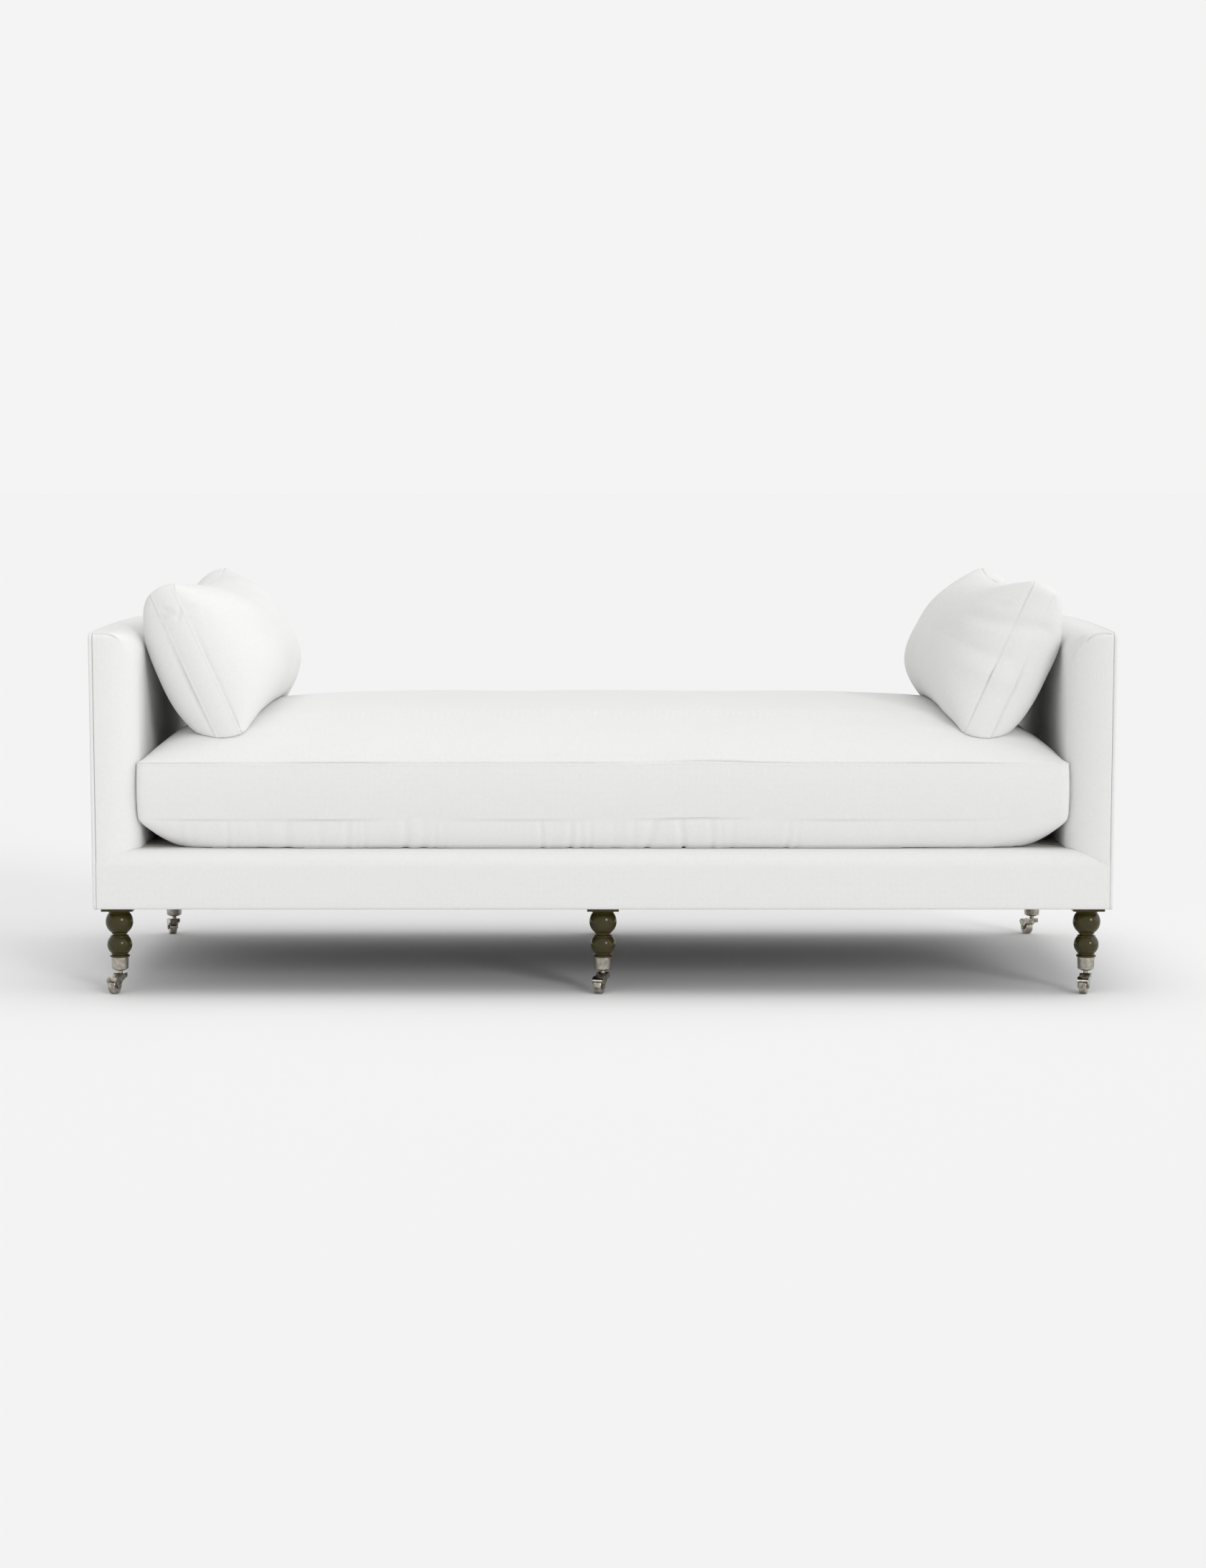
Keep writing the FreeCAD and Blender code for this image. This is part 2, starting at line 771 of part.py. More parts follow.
def fork_slot():
    """The room for the wheel between the cheeks, open to the floor and to the front."""
    half = wheel_width / 2 + wheel_side_clearance
    radius = wheel_radius + wheel_gap
    open_y = -caster_trail - 2 * radius
    front = fork_rim(-half, radius, 180)
    back = fork_rim(-half, radius, 0)
    below_back = Vector(-half, back.y, -wheel_gap)
    below_front = Vector(-half, open_y, -wheel_gap)
    open_front = Vector(-half, open_y, wheel_radius)
    edges = [
        arc(front, fork_rim(-half, radius, 90), back),
        line(back, below_back),
        line(below_back, below_front),
        line(below_front, open_front),
        line(open_front, front),
    ]
    return Part.Face(Part.Wire(edges)).extrude(Vector(2 * half, 0, 0))


def fork_half_width():
    """Half the width over both cheeks."""
    return wheel_width / 2 + wheel_side_clearance + fork_cheek_thickness


def fork():
    """One fork: the pintle and its head, the block under it, the crown over the wheel and its two cheeks."""
    half = fork_half_width()
    outer = wheel_radius + wheel_gap + fork_crown_thickness
    block_bottom = fork_top_height - fork_block_height
    front = fork_rim(-half, outer, fork_crown_front_angle)
    crest = fork_rim(-half, outer, (fork_crown_front_angle + fork_crown_back_angle) / 2)
    meet = fork_rim(-half, outer, fork_crown_back_angle)
    shoulder = Vector(-half, -pintle_radius - fork_shoulder_lead, fork_top_height)
    back_top = Vector(-half, fork_block_back, fork_top_height)
    back_bottom = Vector(-half, fork_block_back, block_bottom)
    throat = Vector(-half, -fork_throat_lead, block_bottom - fork_throat_drop)
    cheek_y = -caster_trail + fork_boss_radius + fork_cheek_spread
    cheek = Vector(-half, cheek_y, wheel_radius + fork_cheek_spread)
    heel = fork_rim(-half, fork_boss_radius, 0)
    toe = fork_rim(-half, fork_boss_radius, 270)
    nose = fork_rim(-half, fork_boss_radius, 180)
    edges = [
        arc(front, crest, meet),
        line(meet, shoulder),
        line(shoulder, back_top),
        line(back_top, back_bottom),
        line(back_bottom, throat),
        arc(throat, cheek, heel),
        arc(heel, fork_rim(-half, fork_boss_radius, 315), toe),
        arc(toe, fork_rim(-half, fork_boss_radius, 225), nose),
        line(nose, front),
    ]
    body = Part.Face(Part.Wire(edges)).extrude(Vector(2 * half, 0, 0)).cut(fork_slot())
    stem_top = cup_floor_height + pintle_lift
    head_top = stem_top + pintle_head_thickness
    stem_start = fork_top_height - fork_block_height / 2
    body = body.fuse(upright(pintle_radius, 0, 0, stem_start, head_top))
    body = body.fuse(upright(pintle_head_radius, 0, 0, stem_top, head_top))
    bore = Part.makeCylinder(axle_radius, 2 * half, fork_rim(-half, 0, 0), Vector(1, 0, 0))
    return body.cut(bore).removeSplitter()


def axle():
    """The riveted axle, headed over on both cheeks."""
    half = fork_half_width()
    across = Vector(1, 0, 0)
    near = fork_rim(-half, 0, 0)
    far = fork_rim(half, 0, 0)
    pin = Part.makeCylinder(axle_radius, 2 * half, near, across)
    near_head = Part.makeCylinder(axle_head_radius, axle_head_thickness, near, -across)
    far_head = Part.makeCylinder(axle_head_radius, axle_head_thickness, far, across)
    return pin.fuse([near_head, far_head]).removeSplitter()


def wheel():
    """One solid metal wheel with its bore."""
    start = fork_rim(-wheel_width / 2, 0, 0)
    across = Vector(1, 0, 0)
    tread = Part.makeCylinder(wheel_radius, wheel_width, start, across)
    rims = [edge for edge in tread.Edges if len(edge.Vertexes) == 1]
    tread = tread.makeFillet(wheel_edge_radius, rims)
    bore = Part.makeCylinder(axle_radius + axle_clearance, wheel_width, start, across)
    return tread.cut(bore)


def at_leg(shape, x, y):
    """A copy of a leg's piece at one leg, without turning it."""
    copy = shape.copy()
    copy.translate(Vector(x, y, 0))
    return copy


def swung(shape, y):
    """A copy of a caster's piece, swung as it stands: front ones to the front, back ones to the back."""
    copy = shape.copy()
    turn = -caster_swing if y < 0 else 180 + caster_swing
    copy.rotate(Vector(0, 0, 0), Vector(0, 0, 1), turn)
    return copy


os.makedirs("parts", exist_ok=True)

front_rail = long_rail()
left_front_post = front_post()
left_back_post = mirror_y(left_front_post)
right_front_post = mirror_x(left_front_post)
right_back_post = mirror_x(left_back_post)
posts = [left_front_post, left_back_post, right_front_post, right_back_post]
left_arm_board = arm_board()
right_arm_board = mirror_x(left_arm_board)
front_cover = rail_cover(posts + [left_arm_board, right_arm_board])
left_cover = arm_cover(left_arm_board)

save("front_rail", front_rail)
save("back_rail", mirror_y(front_rail))
save("left_end_rail", end_rail())
save("right_end_rail", mirror_x(end_rail()))
save("centre_cross_rail", cross_rail(0, post_back))
save("side_cross_rails", *[cross_rail(side * side_cross_rail_offset, rail_back) for side in (-1, 1)])
save("centre_leg_blocks", centre_block(), mirror_y(centre_block()))
save("left_front_post", left_front_post)
save("left_back_post", left_back_post)
save("right_front_post", right_front_post)
save("right_back_post", right_back_post)
save("left_arm_top_rail", arm_top_rail())
save("right_arm_top_rail", mirror_x(arm_top_rail()))
save("left_arm_board", left_arm_board)
save("right_arm_board", right_arm_board)
save("seat_webbing", *webbing())
save("deck_pad", deck_layer(webbing_top, deck_pad_top))
save("deck_cloth", deck_layer(deck_pad_top, deck_top))
save("dust_cover", dust_cover())
save("front_rail_cover", front_cover)
save("back_rail_cover", mirror_y(front_cover))
save("left_arm_cover", left_cover)
save("right_arm_cover", mirror_x(left_cover))
save("left_outer_panel", outer_panel())
save("right_outer_panel", mirror_x(outer_panel()))
save("left_arm_welt", arm_welt())
save("right_arm_welt", mirror_x(arm_welt()))

front_bolts = [rail_bolt(side, height) for side in (-1, 1) for height in rail_bolt_heights()]
save("rail_bolts", *front_bolts, *[mirror_y(bolt) for bolt in front_bolts])
bolt_bottom = base_height - leg_bolt_length / 2
leg_bolt = upright(leg_bolt_radius, 0, 0, bolt_bottom, bolt_bottom + leg_bolt_length)
save("leg_bolts", *[at_leg(leg_bolt, x, y) for x, y in leg_places()])
save("cup_screws", *[at_leg(cup_screw(), x, y) for x, y in leg_places()])

seat = bench_outside()
seat_core = bench_core()
save("seat_cushion", seat.cut(seat_core))
save("seat_cushion_core", seat_core)
left_pad = pillow_pad()
left_pillow = left_pillow_outside(seat).cut(left_pad)
save("left_pillow", left_pillow)
save("left_pillow_pad", left_pad)
save("right_pillow", mirror_x(left_pillow))
save("right_pillow_pad", mirror_x(left_pad))

one_leg = leg()
one_cup = cup()
one_fork = fork()
one_axle = axle()
one_wheel = wheel()
names = ("front_left", "front_centre", "front_right", "back_left", "back_centre", "back_right")
for name, (x, y) in zip(names, leg_places()):
    save(name + "_leg", at_leg(one_leg, x, y))
    save(name + "_caster_cup", at_leg(one_cup, x, y))
    save(name + "_caster_fork", at_leg(swung(one_fork, y), x, y), at_leg(swung(one_axle, y), x, y))
    save(name + "_caster_wheel", at_leg(swung(one_wheel, y), x, y))
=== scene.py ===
"""The looks of a backless divan in white linen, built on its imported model. Metres, +Z up, front at -Y."""
import math

import bpy
import numpy as np
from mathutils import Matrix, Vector
from mathutils.bvhtree import BVHTree
from mathutils.kdtree import KDTree


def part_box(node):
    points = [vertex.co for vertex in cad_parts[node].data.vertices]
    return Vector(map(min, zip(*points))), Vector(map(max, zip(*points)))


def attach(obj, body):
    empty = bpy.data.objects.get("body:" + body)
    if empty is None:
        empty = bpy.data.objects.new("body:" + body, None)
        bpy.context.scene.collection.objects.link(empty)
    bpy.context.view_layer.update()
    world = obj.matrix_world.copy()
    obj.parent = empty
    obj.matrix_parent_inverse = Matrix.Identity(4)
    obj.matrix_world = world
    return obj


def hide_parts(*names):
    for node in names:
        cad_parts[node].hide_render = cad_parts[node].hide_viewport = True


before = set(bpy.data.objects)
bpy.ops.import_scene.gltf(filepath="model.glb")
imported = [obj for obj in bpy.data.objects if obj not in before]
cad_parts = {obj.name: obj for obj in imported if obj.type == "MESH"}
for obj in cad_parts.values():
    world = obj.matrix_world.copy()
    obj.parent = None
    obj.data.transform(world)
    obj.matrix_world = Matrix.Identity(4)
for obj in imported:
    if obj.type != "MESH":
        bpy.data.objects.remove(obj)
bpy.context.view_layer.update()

# Seat frame: rails, cross rails, leg blocks, posts and the arms' top rails.
# Kiln-dried beech, sawn and planed, with butt and lap joints pulled up by bolts.
# To the eye it is pale pinkish tan, with fine straight grain that runs along each piece.


def linear(code):
    """A written sRGB colour as the linear numbers that a shader takes."""
    shares = [int(code[i:i + 2], 16) / 255 for i in (1, 3, 5)]
    return [s / 12.92 if s <= 0.04045 else ((s + 0.055) / 1.055) ** 2.4 for s in shares] + [1.0]


def add(tree, kind, inputs, **settings):
    """Adds a shader node with its settings, and sets or links each of its inputs."""
    made = tree.nodes.new(kind)
    for name, value in settings.items():
        setattr(made, name, value)
    for name, value in inputs.items():
        if isinstance(value, bpy.types.NodeSocket):
            tree.links.new(value, made.inputs[name])
        else:
            made.inputs[name].default_value = value
    return made


def new_finish(name):
    """An empty material, and its node tree."""
    material = bpy.data.materials.new(name)
    material.use_nodes = True
    material.node_tree.nodes.clear()
    return material, material.node_tree


def two_tones(tree, pattern, low, high, first, second):
    """Goes from the first tone to the second as a pattern goes from low to high."""
    share = add(tree, "ShaderNodeMapRange", {"Value": pattern, "From Min": low, "From Max": high})
    mixed = add(tree, "ShaderNodeMix", {0: share.outputs[0], 6: linear(first), 7: linear(second)}, data_type="RGBA")
    return mixed.outputs[2]


def surfaced(material, tree, looks, height, strength, depth):
    """Gives a material its surface: its looks, and a relief whose full depth is in metres."""
    relief = add(tree, "ShaderNodeBump", {"Height": height, "Strength": strength, "Distance": depth})
    surface = add(tree, "ShaderNodeBsdfPrincipled", {**looks, "Normal": relief.outputs[0]})
    add(tree, "ShaderNodeOutputMaterial", {"Surface": surface.outputs[0]})
    return material


def planed_wood(name, light, dark, along, ring_width, roughness):
    """Planed wood whose grain runs along one axis, with year rings of a real width in metres."""
    material, tree = new_finish(name)
    place = add(tree, "ShaderNodeTexCoord", {})
    stretch = [1 / ring_width] * 3
    stretch["XYZ".index(along)] = 2.0
    grain_place = add(tree, "ShaderNodeMapping", {"Vector": place.outputs["Object"], "Scale": stretch})
    rings = add(tree, "ShaderNodeTexNoise", {
        "Vector": grain_place.outputs[0], "Scale": 0.5, "Detail": 4.0, "Roughness": 0.6, "Distortion": 0.6})
    pores = add(tree, "ShaderNodeTexNoise", {
        "Vector": grain_place.outputs[0], "Scale": 5.0, "Detail": 3.0, "Roughness": 0.7})
    both = add(tree, "ShaderNodeMath", {0: rings.outputs["Fac"], 1: pores.outputs["Fac"]}, operation="MULTIPLY")
    colour = two_tones(tree, both.outputs[0], 0.14, 0.42, light, dark)
    looks = {"Base Color": colour, "Roughness": roughness, "IOR": 1.5}
    return surfaced(material, tree, looks, pores.outputs["Fac"], 0.25, 0.0004)


def dress(material, *names):
    """Gives CAD pieces that keep their own shape a finish."""
    for name in names:
        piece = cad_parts[name]
        piece.data.materials.clear()
        piece.data.materials.append(material)


beech_ring_width = 0.004
beech_tones = ("#DCBB91", "#B98F63")
beech_along_x, beech_along_y, beech_along_z = (
    planed_wood("planed_beech_along_" + axis.lower(), *beech_tones, axis, beech_ring_width, 0.6) for axis in "XYZ")
dress(beech_along_x, "front_rail", "back_rail", "centre_leg_blocks")
dress(beech_along_y, "left_end_rail", "right_end_rail", "centre_cross_rail", "side_cross_rails")
dress(beech_along_y, "left_arm_top_rail", "right_arm_top_rail")
dress(beech_along_z, "left_front_post", "left_back_post", "right_front_post", "right_back_post")

# Arm boards: one thin board on each arm's inner side, which backs the padding.
# Birch plywood of 6 mm, stapled to the posts and the top rail.
# Rotary-cut veneer shows a broad, faint grain that is paler than the beech.

birch_ring_width = 0.018
birch_ply = planed_wood("birch_plywood", "#E4CDA6", "#C7A679", "Y", birch_ring_width, 0.65)
dress(birch_ply, "left_arm_board", "right_arm_board")

# Bolts and screws: eight flat-headed bolts in the rail joints, six in the legs, and a screw in each cup.
# The bolts are steel with bright zinc plating, and the cup screws match the cups' nickel.
# Zinc gives a cool, slightly clouded grey shine.


def plated_metal(name, light, dark, cloud_size, roughness):
    """A plated metal, clouded at a real size in metres, with its coat darker in the clouds: a little where it is worn,
    or much, as painted reflection of dark surroundings, where the dark tone is far darker.
    """
    material, tree = new_finish(name)
    place = add(tree, "ShaderNodeTexCoord", {})
    clouds = add(tree, "ShaderNodeTexNoise", {
        "Vector": place.outputs["Object"], "Scale": 1 / cloud_size, "Detail": 4.0, "Roughness": 0.6})
    colour = two_tones(tree, clouds.outputs["Fac"], 0.35, 0.7, light, dark)
    haze = add(tree, "ShaderNodeMapRange", {
        "Value": clouds.outputs["Fac"], "To Min": roughness - 0.05, "To Max": roughness + 0.08})
    scratches = add(tree, "ShaderNodeTexNoise", {
        "Vector": place.outputs["Object"], "Scale": 3 / cloud_size, "Detail": 2.0})
    looks = {"Base Color": colour, "Metallic": 1.0, "Roughness": haze.outputs[0]}
    return surfaced(material, tree, looks, scratches.outputs["Fac"], 0.12, 0.0002)


zinc_cloud_size = 0.006
bright_zinc = plated_metal("bright_zinc_plate", "#C9CCCE", "#9DA1A4", zinc_cloud_size, 0.35)
dress(bright_zinc, "rail_bolts", "leg_bolts")

# Legs: six turned legs, each with a square plate, two bulbs between lips and necks, and a flange over its cup.
# Beech turned on a lathe, stained and sprayed with a dark olive-brown gloss lacquer, and bolted up into the frame.
# The lacquer is almost black in the shade, with sharp highlights on each bulb and a soft orange-peel.

orange_peel_size = 0.004
leg_grain_width = 0.003846
leg_grain_length = 0.040


def gloss_lacquer():
    """Dark olive-brown lacquer over close-grained wood."""
    material, tree = new_finish("olive_brown_gloss_lacquer")
    place = add(tree, "ShaderNodeTexCoord", {})
    grain_place = add(tree, "ShaderNodeMapping", {
        "Vector": place.outputs["Object"], "Scale": (1 / leg_grain_width, 1 / leg_grain_width, 1 / leg_grain_length)})
    grain = add(tree, "ShaderNodeTexNoise", {"Vector": grain_place.outputs[0], "Scale": 1.0, "Detail": 3.0})
    colour = two_tones(tree, grain.outputs["Fac"], 0.3, 0.8, "#3B3413", "#342E0F")
    peel = add(tree, "ShaderNodeTexNoise", {
        "Vector": place.outputs["Object"], "Scale": 1 / orange_peel_size, "Detail": 1.0})
    looks = {"Base Color": colour, "Roughness": 0.35, "IOR": 1.5, "Specular IOR Level": 0.1,
             "Coat Weight": 0.45, "Coat Roughness": 0.06}
    return surfaced(material, tree, looks, peel.outputs["Fac"], 0.1, 0.0003)


leg_names = ("front_left", "front_centre", "front_right", "back_left", "back_centre", "back_right")
dress(gloss_lacquer(), *[name + "_leg" for name in leg_names])

# Casters: six cups, forks and solid wheels. Each fork turns on a pintle in the cup's floor.
# Cast brass, plated in satin nickel and lightly antiqued, with a riveted axle through each wheel.
# The plate is a warm light grey that blurs what it mirrors, darker where the antiquing stays on the cups. On the forks
# and wheels its clouds are far darker: painted reflection, standing in for the dark surroundings that their polished
# plate mirrors.

antique_cloud_size = 0.009
antique_nickel = plated_metal("satin_antique_nickel", "#BDB8AE", "#8A8478", antique_cloud_size, 0.30)
# Painted reflection: the forks' and wheels' plate is darkened in clouds to stand in for the dark surroundings that
# polished nickel mirrors.
nickel_with_painted_reflection = plated_metal("nickel_with_painted_dark_reflection", "#C4BFB4", "#6A655B", antique_cloud_size, 0.12)
for name in leg_names:
    dress(antique_nickel, name + "_caster_cup")
    dress(nickel_with_painted_reflection, name + "_caster_fork", name + "_caster_wheel")
dress(antique_nickel, "cup_screws")

# Seat webbing: five straps along the seat and seventeen across it, which lie on them.
# Woven jute, 70 mm wide, stretched and tacked to the rails' top edges.
# The weave is coarse and golden brown, with thick selvedges.

thread_coarseness = 2.4


def woven_cloth(name, light, dark, thread_spacing, slub, roughness, relief_height):
    """Plain-woven cloth; slub is how uneven its threads are.

    Threads thinner than a pixel are drawn coarser than they are, by thread_coarseness, so that they show.
    """
    material, tree = new_finish(name)
    place = add(tree, "ShaderNodeTexCoord", {})
    where = add(tree, "ShaderNodeSeparateXYZ", {0: place.outputs["Object"]}).outputs
    facing = add(tree, "ShaderNodeSeparateXYZ", {0: place.outputs["Normal"]}).outputs
    across = []
    for side in "XZ":
        turned = add(tree, "ShaderNodeMath", {0: facing[side]}, operation="ABSOLUTE")
        chosen = add(tree, "ShaderNodeMath", {0: turned.outputs[0], 1: 0.72}, operation="GREATER_THAN")
        across.append(add(tree, "ShaderNodeMix", {0: chosen.outputs[0], 2: where[side], 3: where["Y"]}))
    flat = add(tree, "ShaderNodeCombineXYZ", {"X": across[0].outputs[0], "Y": across[1].outputs[0]}).outputs[0]
    drawn_spacing = thread_spacing * thread_coarseness
    threads = []
    streaks = []
    for direction, slim in (("X", (1.0, 0.14, 1.0)), ("Y", (0.14, 1.0, 1.0))):
        threads.append(add(tree, "ShaderNodeTexWave", {
            "Vector": flat, "Scale": math.pi / 10 / drawn_spacing, "Distortion": 1.6, "Detail": 1.0,
            "Detail Scale": 0.6}, bands_direction=direction))
        long_place = add(tree, "ShaderNodeMapping", {"Vector": flat, "Scale": slim})
        streaks.append(add(tree, "ShaderNodeTexNoise", {
            "Vector": long_place.outputs[0], "Scale": 1.1 / drawn_spacing, "Detail": 2.0, "Roughness": 0.6}))
    crossing = add(tree, "ShaderNodeMath", {0: threads[0].outputs["Fac"], 1: threads[1].outputs["Fac"]},
                   operation="MULTIPLY")
    thickness = add(tree, "ShaderNodeMath", {0: streaks[0].outputs["Fac"], 1: streaks[1].outputs["Fac"]},
                    operation="ADD")
    uneven = add(tree, "ShaderNodeMath", {0: thickness.outputs[0], 1: slub, 2: crossing.outputs[0]},
                 operation="MULTIPLY_ADD")
    colour = two_tones(tree, uneven.outputs[0], 0.55 * slub, 1.45 * slub + 0.5, dark, light)
    looks = {"Base Color": colour, "Roughness": roughness, "IOR": 1.46, "Specular IOR Level": 0.25,
             "Sheen Weight": 0.06, "Sheen Roughness": 0.6}
    return surfaced(material, tree, looks, uneven.outputs[0], 0.5, relief_height)


def piece_of(name, points, faces, material, body, slot, stands_for):
    """A smooth mesh piece that rides on a body, with its finish and the CAD pieces that it stands for."""
    mesh = bpy.data.meshes.new(name)
    mesh.from_pydata([tuple(p) for p in points], [], [tuple(int(i) for i in f) for f in faces])
    mesh.validate()
    mesh.polygons.foreach_set("use_smooth", [True] * len(mesh.polygons))
    mesh.materials.append(material)
    made = bpy.data.objects.new(name, mesh)
    bpy.context.scene.collection.objects.link(made)
    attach(made, body)
    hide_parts(*stands_for)
    return made


def turned_over(faces, needed):
    """The faces of a mesh, turned over where a mirrored or reversed form needs it."""
    return [face[::-1] for face in faces] if needed else faces


def lofted(rings, closed_along=False):
    """Points and faces of a skin through closed rings of as many points each, capped unless it closes along."""
    rings = np.asarray(rings, float)
    count, around = rings.shape[:2]
    faces = []
    for i in range(count if closed_along else count - 1):
        a, b = i * around, (i + 1) % count * around
        for j in range(around):
            k = (j + 1) % around
            faces.append((a + j, a + k, b + k, b + j))
    if not closed_along:
        faces.append(tuple(range(around))[::-1])
        faces.append(tuple(range((count - 1) * around, count * around)))
    return rings.reshape(-1, 3), faces


def gathered(parts):
    """Several meshes as one list of points and one of faces."""
    points, faces, start = [], [], 0
    for part_points, part_faces in parts:
        points.append(part_points)
        faces += [tuple(i + start for i in face) for face in part_faces]
        start += len(part_points)
    return np.concatenate(points), faces


strap_width = 0.070
strap_thickness = 0.0025
selvedge_width = 0.005
selvedge_rounding = 0.002
strap_pitch = 0.116
strap_sag = 0.0012
strap_reach_x = 1.040
strap_reach_y = 0.415
low_strap_z = 0.2875
high_strap_z = 0.2900


def strap(start, end, height):
    """One strap between two points, a little slack in the middle, with thicker selvedges."""
    start, end = np.array(start, float), np.array(end, float)
    along = (end - start) / np.linalg.norm(end - start)
    side = np.array([-along[1], along[0]])
    half = strap_width / 2
    body, shoulder = half - selvedge_width, half - selvedge_rounding
    outline = [(-half, 0.5), (-shoulder, 0), (-body, 0.12), (body, 0.12), (shoulder, 0)]
    outline += [(-across, 1 - up) for across, up in outline]
    rings = []
    for share in np.linspace(0, 1, 41):
        middle = start + (end - start) * share
        drop = strap_sag * math.sin(math.pi * share) ** 2 * 0.5
        rings.append([(*(middle + side * across), height + strap_thickness * (0.04 + 0.92 * up) - drop)
                      for across, up in outline])
    return lofted(rings)


straps = [strap((-strap_reach_x, y), (strap_reach_x, y), low_strap_z) for y in strap_pitch * np.arange(-2, 3)]
straps += [strap((x, -strap_reach_y), (x, strap_reach_y), high_strap_z) for x in strap_pitch * np.arange(-8, 9)]
jute_thread_spacing = 0.0013
jute = woven_cloth("woven_jute", "#C39E66", "#8A6838", jute_thread_spacing, 0.5, 0.9, 0.0006)
piece_of("seat_webbing_straps", *gathered(straps), jute, "frame", "webbing", ["seat_webbing"])

# Deck pad: the thin layer between the webbing and the deck cloth.
# Needled cotton felt, cut to the seat and laid loose on the webbing.
# It is cream, matt and lumpy, with soft thick edges.


def outline_width(form, x):
    """Half the width of a boxed form at x: drawn in at the middle, and rounded at the corners."""
    straight = form["half_length"] - form["corner"]
    share = np.clip(np.abs(x) / straight, 0, 1)
    drawn = form["half_width"] - form["draw_in"] * (1 - share ** 2)
    past = np.clip((np.abs(x) - straight) / form["corner"], 0, 1)
    return drawn - form["corner"] * (1 - np.sqrt(1 - past ** 2))


def edge_steps(reach, steps, pitch):
    """Places from -reach to reach: fine steps in from each end, and an even pitch between."""
    steps = [s for s in steps if s < reach * 0.8]
    inner = reach - steps[-1]
    middle = np.linspace(-inner, inner, max(2, round(2 * inner / pitch)) + 1)
    left = [-reach + s for s in steps[:-1]]
    return np.array(left + list(middle) + [-x for x in left[::-1]])


def boxed(form, pitch, edge, strip):
    """Points and faces of a boxed form in its own frame: X along, Y across, Z through, from the strip's middle.

    It also gives the loops of points round the strip, from seam to seam, and their places' outward directions.
    """
    length, boxing = form["half_length"], form["half_boxing"]
    xs = edge_steps(length, edge, pitch)
    ts = edge_steps(form["half_width"], edge, pitch * form.get("across_pitch", 1)) / form["half_width"]
    columns, rows = len(xs), len(ts)
    x, t = np.meshgrid(xs, ts, indexing="ij")
    y = t * outline_width(form, x)
    upper = np.stack([x, y, boxing + form["over"](x / length, t)], -1).reshape(-1, 3)
    lower = np.stack([x, y, -boxing - form["under"](x / length, t)], -1).reshape(-1, 3)

    def index(i, j):
        return i * rows + j

    rim = [index(i, 0) for i in range(columns)] + [index(columns - 1, j) for j in range(1, rows)]
    rim += [index(i, rows - 1) for i in range(columns - 2, -1, -1)] + [index(0, j) for j in range(rows - 2, 0, -1)]
    flat = upper[rim, :2]
    along = np.roll(flat, -1, 0) - np.roll(flat, 1, 0)
    outwards = np.stack([along[:, 1], -along[:, 0]], -1)
    outwards /= np.linalg.norm(outwards, axis=1)[:, None]
    levels = sorted({boxing - s for s in strip} | {-boxing + s for s in strip} | {0.0}, reverse=True)
    points = [upper, lower]
    start = 2 * columns * rows
    loops = [rim]
    for level in levels:
        swell = form["bulge"] * (1 - (level / boxing) ** 2)
        ring = np.concatenate([flat + outwards * swell, np.full((len(rim), 1), level)], 1)
        points.append(ring)
        loops.append(list(range(start, start + len(rim))))
        start += len(rim)
    loops.append([i + columns * rows for i in rim])
    faces = []
    for i in range(columns - 1):
        for j in range(rows - 1):
            a, b, c, d = index(i, j), index(i + 1, j), index(i + 1, j + 1), index(i, j + 1)
            faces.append((a, b, c, d))
            faces.append(tuple(k + columns * rows for k in (d, c, b, a)))
    for top, bottom in zip(loops, loops[1:]):
        for j in range(len(rim)):
            k = (j + 1) % len(rim)
            faces.append((top[j], bottom[j], bottom[k], top[k]))
    return np.concatenate(points), faces, {"loops": loops, "outwards": outwards}


def room_of(node):
    """The middle and the half-sizes of the box that a CAD piece takes."""
    low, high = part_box(node)
    return np.array((low + high) / 2), np.array((high - low) / 2)


def slab(half_length, half_width, half_thickness, puff):
    """The sizes of a thin pad with a slight puff on both sides."""
    def rise(u, t):
        return puff * np.clip(1 - u ** 8, 0, 1) ** 0.5 * np.clip(1 - t ** 8, 0, 1) ** 0.5
    return {"half_length": half_length, "half_width": half_width, "half_boxing": half_thickness - puff,
            "corner": 0.012, "draw_in": 0.0, "bulge": 0.001, "over": rise, "under": rise}


def waves(points, size, seed):
    """Soft random waves over points, from -1 to 1, of about one size in metres."""
    chance = np.random.default_rng(seed)
    total = np.zeros(len(points))
    for _ in range(9):
        direction = chance.normal(size=3)
        direction /= np.linalg.norm(direction)
        wavelength = size * chance.uniform(0.7, 1.6)
        total += np.sin(points @ direction * 2 * math.pi / wavelength + chance.uniform(0, 2 * math.pi))
    return np.clip(total / 4, -1, 1)


felt_fibre_size = 0.004


def fibrous(name, light, dark, fibre_size, relief_height, roughness):
    """Matted fibres or open foam, mottled at a real size in metres."""
    material, tree = new_finish(name)
    place = add(tree, "ShaderNodeTexCoord", {})
    mottle = add(tree, "ShaderNodeTexNoise", {
        "Vector": place.outputs["Object"], "Scale": 1 / fibre_size, "Detail": 5.0, "Roughness": 0.65,
        "Distortion": 1.2})
    colour = two_tones(tree, mottle.outputs["Fac"], 0.35, 0.68, light, dark)
    looks = {"Base Color": colour, "Roughness": roughness, "IOR": 1.5, "Specular IOR Level": 0.2, "Sheen Weight": 0.1}
    return surfaced(material, tree, looks, mottle.outputs["Fac"], 0.6, relief_height)


pad_middle, pad_reach = room_of("deck_pad")
felt = fibrous("needled_cotton_felt", "#E9E1CE", "#D3C7AC", felt_fibre_size, 0.001, 0.95)
points, faces, _ = boxed(slab(pad_reach[0] - 0.002, pad_reach[1] - 0.002, pad_reach[2] - 0.0004, 0.001),
                         0.03, [0, 0.006, 0.015], [0.001])
points[:, 2] += 0.0003 * waves(points, 0.07, 3)
deck_pad = piece_of("felt_deck_pad", points + pad_middle, faces, felt, "frame", "filling", ["deck_pad"])

